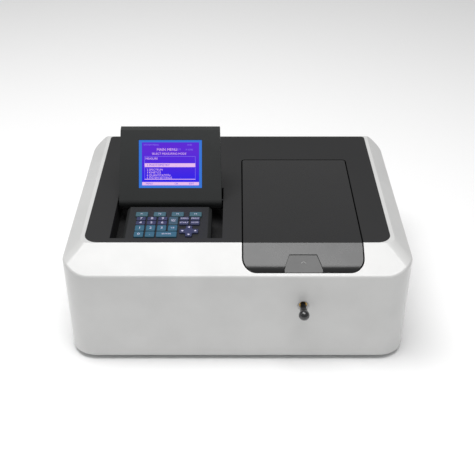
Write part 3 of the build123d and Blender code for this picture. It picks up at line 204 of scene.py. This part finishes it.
def tint(tree, place, colour, drift_share, size_mm, detail=3.0):
    """A colour that drifts a little darker and lighter in patches of a real size."""
    low = [c * (1 - drift_share) for c in colour[:3]] + [1.0]
    high = [min(1.0, c * (1 + drift_share)) for c in colour[:3]] + [1.0]
    drift = add(tree, "ShaderNodeTexNoise", {"Vector": place, "Scale": 1 / (size_mm * MM), "Detail": detail})
    ramp = add(tree, "ShaderNodeValToRGB", {"Fac": (drift, "Fac")})
    ramp.color_ramp.elements[0].position = 0.35
    ramp.color_ramp.elements[0].color = low
    ramp.color_ramp.elements[1].position = 0.65
    ramp.color_ramp.elements[1].color = high
    return (ramp, "Color")


def spread(tree, place, low, high, size_mm):
    """A roughness that drifts between two values in patches of a real size."""
    drift = add(tree, "ShaderNodeTexNoise", {"Vector": place, "Scale": 1 / (size_mm * MM), "Detail": 2.0})
    span = add(tree, "ShaderNodeMapRange", {"Value": (drift, "Fac"), "To Min": low, "To Max": high})
    return (span, "Result")


def moulded(name, colour, roughness, grain_mm, depth_mm, coat=0.0):
    """Moulded plastic: the tool's spark-eroded grain breaks up the shine, and the colour hardly changes."""
    material, tree, place = blank_material(name)
    grain = add(tree, "ShaderNodeTexVoronoi", {
        "Vector": place, "Scale": 1 / (grain_mm * MM)}, feature="SMOOTH_F1")
    bump = add(tree, "ShaderNodeBump", {
        "Height": (grain, "Distance"), "Strength": 0.35, "Distance": depth_mm * MM})
    close_material(tree, {
        "Base Color": tint(tree, place, colour, 0.03, 60.0),
        "Roughness": spread(tree, place, roughness - 0.04, roughness + 0.04, 25.0),
        "Coat Weight": coat,
        "Coat Roughness": 0.12,
        "Normal": (bump, "Normal"),
    })
    return material


def coated_steel(name, colour):
    """Powder-coated sheet: an orange-peel skin some two millimetres from hill to hill, half gloss."""
    material, tree, place = blank_material(name)
    peel = add(tree, "ShaderNodeTexNoise", {"Vector": place, "Scale": 1 / (2.0 * MM), "Detail": 1.0})
    bump = add(tree, "ShaderNodeBump", {"Height": (peel, "Fac"), "Strength": 0.25, "Distance": 0.15 * MM})
    close_material(tree, {
        "Base Color": tint(tree, place, colour, 0.04, 40.0),
        "Roughness": spread(tree, place, 0.38, 0.50, 20.0),
        "Normal": (bump, "Normal"),
    })
    return material


def turned_metal(name, colour, roughness, axis="Y"):
    """Lathe-turned metal: fine rings across the axis, drawn 1.3 mm apart so that they show."""
    material, tree, place = blank_material(name)
    rings = add(
        tree,
        "ShaderNodeTexWave",
        {"Vector": place, "Scale": WAVE_STEP / (1.316 * MM), "Distortion": 0.4, "Detail": 1.0},
        bands_direction=axis,
    )
    bump = add(tree, "ShaderNodeBump", {"Height": (rings, "Fac"), "Strength": 0.2, "Distance": 0.02 * MM})
    close_material(tree, {
        "Base Color": tint(tree, place, colour, 0.08, 6.0),
        "Metallic": 1.0,
        "Roughness": spread(tree, place, roughness - 0.05, roughness + 0.05, 4.0),
        "Normal": (bump, "Normal"),
    })
    return material


def cast_metal(name, colour, roughness, grain_mm):
    """Cast or blasted metal: a pebbled skin with matt and brighter patches."""
    material, tree, place = blank_material(name)
    skin = add(tree, "ShaderNodeTexNoise", {"Vector": place, "Scale": 1 / (grain_mm * MM), "Detail": 4.0})
    bump = add(tree, "ShaderNodeBump", {"Height": (skin, "Fac"), "Strength": 0.5, "Distance": 0.3 * MM})
    close_material(tree, {
        "Base Color": tint(tree, place, colour, 0.10, 15.0),
        "Metallic": 0.9,
        "Roughness": spread(tree, place, roughness - 0.08, roughness + 0.08, 10.0),
        "Normal": (bump, "Normal"),
    })
    return material


def clear_glass(name, colour, roughness):
    """Polished quartz or lamp glass: clear, with the faint waviness that drawing leaves."""
    material, tree, place = blank_material(name)
    waves = add(tree, "ShaderNodeTexNoise", {"Vector": place, "Scale": 1 / (8.0 * MM), "Detail": 0.0})
    bump = add(tree, "ShaderNodeBump", {"Height": (waves, "Fac"), "Strength": 0.1, "Distance": 0.2 * MM})
    close_material(tree, {
        "Base Color": list(colour),
        "Transmission Weight": 1.0,
        "IOR": 1.46,
        "Roughness": roughness,
        "Normal": (bump, "Normal"),
    })
    return material


def ruled_grating(name):
    """Ruled mirror: its grooves split light, so bands of weak colour cross the silvery face."""
    material, tree, place = blank_material(name)
    bands = add(
        tree,
        "ShaderNodeTexWave",
        {"Vector": place, "Scale": WAVE_STEP / (12.566 * MM), "Distortion": 1.5},
        bands_direction="DIAGONAL",
        wave_profile="SAW",
    )
    ramp = add(tree, "ShaderNodeValToRGB", {"Fac": (bands, "Fac")})
    ramp.color_ramp.elements[0].color = linear("#a9b8d6")
    ramp.color_ramp.elements[1].color = linear("#d6b9c4")
    middle = ramp.color_ramp.elements.new(0.5)
    middle.color = linear("#b9d6bd")
    close_material(tree, {"Base Color": (ramp, "Color"), "Metallic": 1.0, "Roughness": 0.12})
    return material


def circuit_board(name):
    """Solder mask over copper: lighter tracks, 2.5 mm apart, show through the green."""
    material, tree, place = blank_material(name)
    tracks = add(
        tree,
        "ShaderNodeTexBrick",
        {
            "Vector": place,
            "Scale": 1.0,
            "Brick Width": 9.0 * MM,
            "Row Height": 2.5 * MM,
            "Mortar Size": 0.35 * MM,
            "Color1": linear("#0d4a26"),
            "Color2": linear("#0f5229"),
            "Mortar": linear("#2a7a45"),
        },
    )
    close_material(tree, {"Base Color": (tracks, "Color"), "Roughness": 0.35, "Coat Weight": 0.4})
    return material


def lit(name, colour, strength):
    """A lit patch of the display: a faint grid, drawn at 0.9 mm so that it shows, dims the backlight."""
    material, tree, place = blank_material(name)
    cells = add(tree, "ShaderNodeTexVoronoi", {
        "Vector": place, "Scale": 1 / (0.9 * MM)}, distance="CHEBYCHEV")
    span = add(tree, "ShaderNodeMapRange", {
        "Value": (cells, "Distance"), "To Min": strength, "To Max": strength * 0.85})
    close_material(tree, {
        "Base Color": linear("#050510"),
        "Roughness": 0.3,
        "Emission Color": list(colour),
        "Emission Strength": (span, "Result"),
    })
    return material


class CasingSettings(bpy.types.PropertyGroup):
    """Colours of the casing and what is let into it."""

    shell: bpy.props.FloatVectorProperty(
        name="Shell", description="Colour of the white moulded shell", subtype="COLOR", size=4,
        min=0.0, max=1.0, default=linear("#cbcbca"))
    panel: bpy.props.FloatVectorProperty(
        name="Top panel", description="Colour of the dark top panel", subtype="COLOR", size=4,
        min=0.0, max=1.0, default=linear("#19191a"))
    lid: bpy.props.FloatVectorProperty(
        name="Sample lid", description="Colour of the sample compartment's lid", subtype="COLOR", size=4,
        min=0.0, max=1.0, default=linear("#19191a"))
    grip: bpy.props.FloatVectorProperty(
        name="Lid grip", description="Colour of the grip let into the lid", subtype="COLOR", size=4,
        min=0.0, max=1.0, default=linear("#151515"))
    sheet: bpy.props.FloatVectorProperty(
        name="Sheet steel", description="Colour of the powder coat on tray and rear panel",
        subtype="COLOR", size=4, min=0.0, max=1.0, default=linear("#b9bcbd"))


class DisplaySettings(bpy.types.PropertyGroup):
    """Colours and brightness of the display head."""

    bezel: bpy.props.FloatVectorProperty(
        name="Bezel", description="Colour of the display head's moulding", subtype="COLOR", size=4,
        min=0.0, max=1.0, default=linear("#212323"))
    border: bpy.props.FloatVectorProperty(
        name="Border", description="Colour of the unused border of the screen", subtype="COLOR", size=4,
        min=0.0, max=1.0, default=linear("#2f7be6"))
    field: bpy.props.FloatVectorProperty(
        name="Field", description="Colour of the screen's lower field", subtype="COLOR", size=4,
        min=0.0, max=1.0, default=linear("#2200f0"))
    field_top: bpy.props.FloatVectorProperty(
        name="Field top", description="Colour of the screen's upper field", subtype="COLOR", size=4,
        min=0.0, max=1.0, default=linear("#5a10dc"))
    bright: bpy.props.FloatVectorProperty(
        name="Text", description="Colour of bright text and of the chosen line", subtype="COLOR", size=4,
        min=0.0, max=1.0, default=linear("#f6c8ff"))
    strength: bpy.props.FloatProperty(
        name="Backlight", description="Strength of the backlight", default=0.9, min=0.0, max=10.0)


class KeypadSettings(bpy.types.PropertyGroup):
    """Colours and legend height of the keypad."""

    plate: bpy.props.FloatVectorProperty(
        name="Plate", description="Colour of the keypad plate", subtype="COLOR", size=4,
        min=0.0, max=1.0, default=linear("#151718"))
    soft: bpy.props.FloatVectorProperty(
        name="Soft keys", description="Colour of the keys under the screen", subtype="COLOR", size=4,
        min=0.0, max=1.0, default=linear("#375a64"))
    rear: bpy.props.FloatVectorProperty(
        name="Rear keys", description="Colour of the two rear rows and the cursor pad",
        subtype="COLOR", size=4, min=0.0, max=1.0, default=linear("#2a3052"))
    front: bpy.props.FloatVectorProperty(
        name="Front keys", description="Colour of the two front rows", subtype="COLOR", size=4,
        min=0.0, max=1.0, default=linear("#2b5a70"))
    jump: bpy.props.FloatVectorProperty(
        name="Jump key", description="Colour of the tall key that jumps to a wavelength",
        subtype="COLOR", size=4, min=0.0, max=1.0, default=linear("#304c5a"))
    legend: bpy.props.FloatVectorProperty(
        name="Legend", description="Colour of the printed legends", subtype="COLOR", size=4,
        min=0.0, max=1.0, default=linear("#c9c6dc"))
    digit_height: bpy.props.FloatProperty(
        name="Digit height", description="Height of a printed digit", subtype="DISTANCE", unit="LENGTH",
        default=5.0 * MM, min=1.0 * MM, max=8.0 * MM)
    word_height: bpy.props.FloatProperty(
        name="Word height", description="Height of a printed word", subtype="DISTANCE", unit="LENGTH",
        default=3.0 * MM, min=1.0 * MM, max=6.0 * MM)


class StageSettings(bpy.types.PropertyGroup):
    """Camera, floor and lights."""

    camera_back: bpy.props.FloatProperty(
        name="Camera distance", description="How far the camera stands before the front wall",
        subtype="DISTANCE", unit="LENGTH", default=893.18 * MM, min=0.1, max=5.0)
    camera_height: bpy.props.FloatProperty(
        name="Camera height", description="Height of the camera above the bench", subtype="DISTANCE",
        unit="LENGTH", default=815.74 * MM, min=0.0, max=5.0)
    camera_pitch: bpy.props.FloatProperty(
        name="Camera pitch", description="How far the camera looks down", subtype="ANGLE", unit="ROTATION",
        default=math.radians(34.16), min=0.0, max=math.pi / 2)
    camera_lens: bpy.props.FloatProperty(
        name="Lens", description="Focal length on a 36 mm sensor", subtype="DISTANCE_CAMERA", unit="CAMERA",
        default=63.57, min=10.0, max=300.0)
    floor: bpy.props.FloatVectorProperty(
        name="Floor", description="Colour of the floor", subtype="COLOR", size=4,
        min=0.0, max=1.0, default=linear("#ffffff"))
    sky: bpy.props.FloatProperty(
        name="Sky", description="Strength of the even light from all round", default=0.37, min=0.0, max=10.0)
    key: bpy.props.FloatProperty(
        name="Top light", description="Power of the large light above",
        unit="POWER", default=33.0, min=0.0)
    fill: bpy.props.FloatProperty(
        name="Left light", description="Power of the soft light on the left",
        unit="POWER", default=2.0, min=0.0)


def settings(name):
    """One group of this file's settings on the scene."""
    return getattr(bpy.context.scene, name)


def give(material, *nodes):
    """Puts a material on CAD nodes' own slots."""
    for name in nodes:
        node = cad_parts[name]
        if not node.material_slots:
            node.data.materials.append(material)
        for place in node.material_slots:
            place.material = material


def piece(name, bm, materials, body):
    """Turns a finished bmesh into a piece that rides on a body."""
    mesh = bpy.data.meshes.new(name)
    bm.to_mesh(mesh)
    bm.free()
    made = bpy.data.objects.new(name, mesh)
    bpy.context.scene.collection.objects.link(made)
    for material in materials:
        mesh.materials.append(material)
    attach(made, body)
    return made


def slab(bm, centre, width, depth, height, place, material_index=0, edge=0.0):
    """Adds a slab with broken edges, centred on a point of a plane and standing up from it."""
    before = set(bm.faces)
    size = Matrix.Diagonal((width, depth, height, 1.0))
    middle = Matrix.Translation((centre[0], centre[1], centre[2] + height / 2))
    made = bmesh.ops.create_cube(bm, size=1.0, matrix=place @ middle @ size)
    if edge:
        edges = {e for v in made["verts"] for e in v.link_edges}
        bmesh.ops.bevel(
            bm, geom=list(edges), offset=edge, offset_type="OFFSET", affect="EDGES", segments=2, profile=0.5,
            material=-1, clamp_overlap=True)
    for face in set(bm.faces) - before:
        face.material_index = material_index


def write(bm, text, height, centre, place, thick=LEGEND_INK, material_index=0, align="CENTER"):
    """Adds raised lettering, read along a plane's X with its foot towards the plane's -Y."""
    curve = bpy.data.curves.new("lettering", "FONT")
    curve.body = text
    curve.size = height / CAPITAL_SHARE
    curve.space_line = 0.8
    curve.extrude = thick / 2
    curve.resolution_u = 3
    curve.align_x = align
    curve.align_y = "CENTER"
    holder = bpy.data.objects.new("lettering", curve)
    mesh = bpy.data.meshes.new_from_object(holder)
    middle = Matrix.Translation((centre[0], centre[1], centre[2] + thick / 2))
    mesh.transform(place @ middle)
    before = len(bm.faces)
    bm.from_mesh(mesh)
    bm.faces.ensure_lookup_table()
    for face in bm.faces[before:]:
        face.material_index = material_index
    bpy.data.objects.remove(holder)
    bpy.data.meshes.remove(mesh)
    bpy.data.curves.remove(curve)


class SPECTRO_OT_finish_casing(bpy.types.Operator):
    """Finish the shell, tray, feet, screws, top panel, lid and rear panel"""

    bl_idname = "spectro.finish_casing"
    bl_label = "Finish casing"

    def execute(self, context):
        tone = settings("spectro_casing")
        give(moulded("shell_abs_gloss_white", tone.shell, 0.30, 1.2, 0.02, 0.35), "upper_shell")
        give(moulded("panel_abs_matt_charcoal", tone.panel, 0.58, 1.0, 0.06), "top_panel")
        give(moulded("lid_abs_satin_charcoal", tone.lid, 0.28, 1.0, 0.02, 0.2), "sample_lid")
        give(moulded("grip_abs_satin_black", tone.grip, 0.34, 1.0, 0.03, 0.15), "lid_grip")
        give(coated_steel("sheet_steel_powder_coat", tone.sheet), "base_tray", "rear_panel", "power_supply")
        give(moulded("foot_rubber_black", linear("#1b1b1b"), 0.78, 1.5, 0.08), "feet")
        give(turned_metal("screw_steel_zinc_plated", linear("#c3c6c4"), 0.32, "Z"), "casing_screws")
        give(turned_metal("pin_steel_blackened", linear("#222224"), 0.40, "X"),
             "display_hinge_pin", "lid_hinge_pin")
        return {"FINISHED"}


class SPECTRO_OT_finish_keypad(bpy.types.Operator):
    """Finish the keypad plate and keys, and print the legends on the keys"""

    bl_idname = "spectro.finish_keypad"
    bl_label = "Finish keypad"

    def execute(self, context):
        tone = settings("spectro_keypad")
        rear = moulded("key_silicone_indigo", tone.rear, 0.50, 0.9, 0.04)
        front = moulded("key_silicone_light_blue", tone.front, 0.46, 0.9, 0.04)
        give(moulded("keypad_abs_matt_violet_grey", tone.plate, 0.55, 0.9, 0.05), "keypad_plate")
        soft_keys = [name for name in WORD_KEYS if name.startswith("soft_key")]
        give(moulded("key_silicone_steel_blue", tone.soft, 0.48, 0.9, 0.04), *soft_keys)
        give(moulded("key_silicone_slate", tone.jump, 0.48, 0.9, 0.04), "key_goto")
        give(rear, "key_four", "key_five", "key_six", "key_seven", "key_eight", "key_nine")
        give(rear, "key_start", "key_stop", "key_blank", "key_print", "cursor_pad")
        give(front, "key_zero", "key_point", "key_enter", "key_one", "key_two", "key_three", "key_clear")
        print_and_painted_highlight = moulded("legend_ink_pale_violet", tone.legend, 0.55, 0.8, 0.02)
        for name, words in {**NUMBER_KEYS, **WORD_KEYS}.items():
            height = tone.digit_height if name in NUMBER_KEYS else tone.word_height
            low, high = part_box(name)
            bm = bmesh.new()
            middle = (Vector(low) + Vector(high)) / 2
            write(bm, words, height, (middle.x, middle.y, high[2]), Matrix.Identity(4))
            piece(name + "_legend", bm, [print_and_painted_highlight], name)
        self.print_arrows(print_and_painted_highlight)
        return {"FINISHED"}

    def print_arrows(self, print_and_painted_highlight):
        """Prints the four arrows on the arms of the cursor pad."""
        low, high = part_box("cursor_pad")
        middle = (Vector(low) + Vector(high)) / 2
        bm = bmesh.new()
        for turn in range(4):
            place = Matrix.Translation((middle.x, middle.y, high[2]))
            place = place @ Matrix.Rotation(turn * math.pi / 2, 4, "Z")
            arm = place @ Matrix.Translation((0.0, ARROW_OUT, ARROW_THICK / 2))
            arm = arm @ Matrix.Rotation(math.pi / 2, 4, "Z")
            bmesh.ops.create_cone(
                bm, cap_ends=True, segments=3, radius1=ARROW_RADIUS, radius2=ARROW_RADIUS, depth=ARROW_THICK,
                matrix=arm)
        piece("cursor_pad_arrows", bm, [print_and_painted_highlight], "cursor_pad")


class SPECTRO_OT_finish_display(bpy.types.Operator):
    """Finish the display head and light its screen with a menu"""

    bl_idname = "spectro.finish_display"
    bl_label = "Finish display"

    def execute(self, context):
        tone = settings("spectro_display")
        bezel = moulded("bezel_abs_satin_charcoal", tone.bezel, 0.42, 1.0, 0.04)
        give(bezel, "display_front", "display_back")
        give(moulded("screen_glass_dark_blue", linear("#0a1030"), 0.20, 3.0, 0.01, 0.6), "lcd_screen")
        place = Matrix.Translation(HEAD_PIVOT + HEAD_OUT * SCREEN_OUT + HEAD_UP * SCREEN_LOW)
        place = place @ Matrix(((1, 0, 0), HEAD_UP, HEAD_OUT)).transposed().to_4x4()
        shown = [
            lit("screen_border_lit_blue", tone.border, tone.strength),
            self.lit_field(tone),
            lit("screen_text_lit_pink", tone.bright, tone.strength),
            lit("screen_text_lit_violet", linear("#8f78ff"), tone.strength),
        ]
        bm = bmesh.new()
        whole = (SCREEN_WIDTH - 2 * SCREEN_GAP, SCREEN_HEIGHT - 2 * SCREEN_GAP)
        slab(bm, (0.0, SCREEN_HEIGHT / 2, 0.0), *whole, LAYER, place, BORDER)
        slab(bm, (*FIELD_CENTRE, LAYER), *FIELD_SIZE, LAYER, place, FIELD)
        self.lay_out_page(bm, place)
        piece("screen_page", bm, shown, "display_head")
        return {"FINISHED"}

    def lit_field(self, tone):
        """The screen's field: violet at the top, where it is seen most steeply, pure blue lower down."""
        material, tree, place = blank_material("screen_field_lit_blue")
        parts = add(tree, "ShaderNodeSeparateXYZ", {"Vector": place})
        foot = HEAD_PIVOT + HEAD_UP * SCREEN_LOW
        rise = add(tree, "ShaderNodeMapRange", {
            "Value": (parts, "Z"), "From Min": foot.z, "From Max": foot.z + SCREEN_HEIGHT * HEAD_UP.z})
        ramp = add(tree, "ShaderNodeValToRGB", {"Fac": (rise, "Result")})
        ramp.color_ramp.elements[0].position = 0.25
        ramp.color_ramp.elements[0].color = tone.field
        ramp.color_ramp.elements[1].position = 0.85
        ramp.color_ramp.elements[1].color = tone.field_top
        close_material(tree, {
            "Base Color": linear("#050510"),
            "Roughness": 0.3,
            "Emission Color": (ramp, "Color"),
            "Emission Strength": tone.strength,
        })
        return material

    def lay_out_page(self, bm, place):
        """Lays the menu page over the field: its frame, chosen line, foot bar and words."""
        lift = 2 * LAYER
        for x, y, width, depth, colour in PAGE_BARS:
            slab(bm, (x * MM, y * MM, lift), width * MM, depth * MM, PAGE_INK, place, colour)
        for words, x, y, size, colour in PAGE_LINES:
            write(bm, words, size * MM, (x * MM, y * MM, lift), place, PAGE_INK, colour, "LEFT")
        for words, x, y, size in BAR_LINES:
            write(bm, words, size * MM, (x * MM, y * MM, lift + LAYER), place, PAGE_INK, FIELD, "LEFT")


class SPECTRO_OT_mark_lid(bpy.types.Operator):
    """Raise the arrow on the lid's grip, in pale grey that paints the highlight on its embossed strokes"""

    bl_idname = "spectro.mark_lid"
    bl_label = "Mark lid grip"

    def execute(self, context):
        lean = math.atan2(SLOPE_RISE, SLOPE_DEPTH)
        low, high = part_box("lid_grip")
        middle_x = (low[0] + high[0]) / 2
        height = SLOPE_FOOT_Z + SLOPE_RISE * MARK_BACK / SLOPE_DEPTH
        place = Matrix.Translation((middle_x, FRONT_Y + MARK_BACK, height)) @ Matrix.Rotation(lean, 4, "X")
        # Pale grey is a painted highlight: the embossed strokes are the grip's black plastic, lightened
        # where they would catch the light
        print_and_painted_highlight = moulded("grip_mark_painted_highlight_grey", linear("#8a8a8a"), 0.5, 0.8, 0.02)
        bm = bmesh.new()
        for side in (-1, 1):
            turn = Matrix.Rotation(-side * STROKE_LEAN, 4, "Z")
            stroke = place @ Matrix.Translation((side * STROKE_OUT, 0.0, 0.0)) @ turn
            slab(
                bm, (0.0, 0.0, 0.0), STROKE_LENGTH, STROKE_WIDTH, STROKE_HEIGHT, stroke,
                edge=STROKE_HEIGHT / 3)
        piece("lid_grip_arrow", bm, [print_and_painted_highlight], "lid")
        return {"FINISHED"}


class SPECTRO_OT_build_stage(bpy.types.Operator):
    """Set the pale floor, the soft lights and the camera"""

    bl_idname = "spectro.build_stage"
    bl_label = "Build stage"

    def execute(self, context):
        tone = settings("spectro_stage")
        bm = bmesh.new()
        bmesh.ops.create_grid(bm, x_segments=1, y_segments=1, size=FLOOR_HALF)
        mesh = bpy.data.meshes.new("floor")
        bm.to_mesh(mesh)
        bm.free()
        floor = bpy.data.objects.new("floor", mesh)
        bpy.context.scene.collection.objects.link(floor)
        material, tree, _ = blank_material("floor_paper_white")
        close_material(tree, {"Base Color": list(tone.floor), "Roughness": 0.9})
        mesh.materials.append(material)

        context.scene.view_settings.view_transform = "Standard"
        sky = bpy.data.worlds.new("studio")
        sky.use_nodes = True
        sky.node_tree.nodes.clear()
        glow = add(sky.node_tree, "ShaderNodeBackground", {
            "Color": (1.0, 1.0, 1.0, 1.0), "Strength": tone.sky})
        add(sky.node_tree, "ShaderNodeOutputWorld", {"Surface": (glow, "Background")})
        context.scene.world = sky
        self.hang_softbox("top_softbox", power=tone.key, **TOP_SOFTBOX)
        self.hang_softbox("left_softbox", power=tone.fill, **LEFT_SOFTBOX)

        view = bpy.data.cameras.new("camera")
        view.lens = tone.camera_lens
        view.sensor_width = SENSOR_WIDTH
        view.sensor_fit = "HORIZONTAL"
        camera = bpy.data.objects.new("camera", view)
        camera.location = (0.0, FRONT_Y - tone.camera_back, tone.camera_height)
        camera.rotation_euler = (math.pi / 2 - tone.camera_pitch, 0.0, 0.0)
        context.scene.collection.objects.link(camera)
        context.scene.camera = camera
        return {"FINISHED"}

    def hang_softbox(self, name, place, size, power):
        """Hangs one large soft light that faces the object."""
        lamp = bpy.data.lights.new(name, "AREA")
        lamp.energy = power
        lamp.shape = "RECTANGLE"
        lamp.size, lamp.size_y = size
        softbox = bpy.data.objects.new(name, lamp)
        softbox.location = place
        softbox.rotation_euler = (AIM - Vector(place)).to_track_quat("-Z", "Y").to_euler()
        bpy.context.scene.collection.objects.link(softbox)


class SPECTRO_OT_finish_optics(bpy.types.Operator):
    """Finish the sample compartment, optics, lamps, drives and electronics inside the casing"""

    bl_idname = "spectro.finish_optics"
    bl_label = "Finish optics"

    def execute(self, context):
        give(cast_metal("tub_casting_matt_black", linear("#1d1d1e"), 0.62, 1.2), "sample_tub")
        give(cast_metal("holder_aluminium_black_anodised", linear("#232427"), 0.42, 0.8),
             "cell_carriage", "reference_holder")
        give(cast_metal("casting_aluminium_as_cast", linear("#9c9fa1"), 0.50, 1.4),
             "monochromator", "lamp_house")
        give(cast_metal("wheel_aluminium_clear_anodised", linear("#b0b3b6"), 0.34, 0.7), "filter_wheel")
        give(cast_metal("motor_can_painted_black", linear("#202124"), 0.45, 1.0), "wavelength_motor")
        give(turned_metal("rod_steel_blued", linear("#3a3b3d"), 0.30, "Y"), "pull_rod")
        give(turned_metal("bush_brass_turned", linear("#b08d4a"), 0.30, "Y"), "rod_bush")
        give(turned_metal("can_steel_nickel_plated", linear("#c2bfb6"), 0.25, "X"), "detectors")
        give(moulded("knob_phenolic_polished_black", linear("#1a1a1b"), 0.16, 2.0, 0.01, 0.6), "pull_knob")
        give(clear_glass("cell_quartz_polished", linear("#eef6f8"), 0.02), "cuvettes")
        give(clear_glass("lamp_quartz_drawn", linear("#f2f3f7"), 0.04), "deuterium_lamp", "tungsten_lamp")
        give(self.mirror(), "source_mirror", "mirrors")
        give(ruled_grating("grating_ruled_aluminised"), "grating")
        give(circuit_board("board_solder_mask_green"), "main_board")
        nylon = moulded("housing_nylon_black", linear("#1e1e1f"), 0.50, 1.0, 0.05)
        give(nylon, "mains_inlet", "power_switch", "fan_frame", "fan_rotor")
        return {"FINISHED"}

    def mirror(self):
        """Front-aluminised glass: nearly perfect shine with a trace of haze."""
        material, tree, place = blank_material("mirror_glass_aluminised")
        close_material(tree, {
            "Base Color": tint(tree, place, linear("#dfe3e6"), 0.02, 10.0),
            "Metallic": 1.0,
            "Roughness": spread(tree, place, 0.02, 0.06, 12.0),
        })
        return material


class SPECTRO_PT_dresser(bpy.types.Panel):
    """Lists the steps that dress the spectrophotometer"""

    bl_idname = "SPECTRO_PT_dresser"
    bl_label = "Spectrophotometer"
    bl_space_type = "VIEW_3D"
    bl_region_type = "UI"
    bl_category = "Spectro"

    def draw(self, context):
        for step in STEPS:
            self.layout.operator(step.bl_idname)
        for group in GROUPS:
            box = self.layout.box()
            for name in GROUPS[group].__annotations__:
                box.prop(getattr(context.scene, group), name)


GROUPS = {
    "spectro_casing": CasingSettings,
    "spectro_display": DisplaySettings,
    "spectro_keypad": KeypadSettings,
    "spectro_stage": StageSettings,
}
STEPS = (
    SPECTRO_OT_build_stage,
    SPECTRO_OT_finish_casing,
    SPECTRO_OT_finish_keypad,
    SPECTRO_OT_finish_display,
    SPECTRO_OT_mark_lid,
    SPECTRO_OT_finish_optics,
)


def register():
    """Registers the settings, the steps and the panel."""
    for made in (*GROUPS.values(), *STEPS, SPECTRO_PT_dresser):
        bpy.utils.register_class(made)
    for name, group in GROUPS.items():
        setattr(bpy.types.Scene, name, bpy.props.PointerProperty(type=group))


def unregister():
    """Takes the settings, the steps and the panel away again."""
    for name in GROUPS:
        delattr(bpy.types.Scene, name)
    for made in reversed((*GROUPS.values(), *STEPS, SPECTRO_PT_dresser)):
        bpy.utils.unregister_class(made)


def main():
    """Runs every step in order."""
    register()
    bpy.ops.spectro.build_stage()
    bpy.ops.spectro.finish_casing()
    bpy.ops.spectro.finish_keypad()
    bpy.ops.spectro.finish_display()
    bpy.ops.spectro.mark_lid()
    bpy.ops.spectro.finish_optics()


if __name__ == "__main__":
    main()
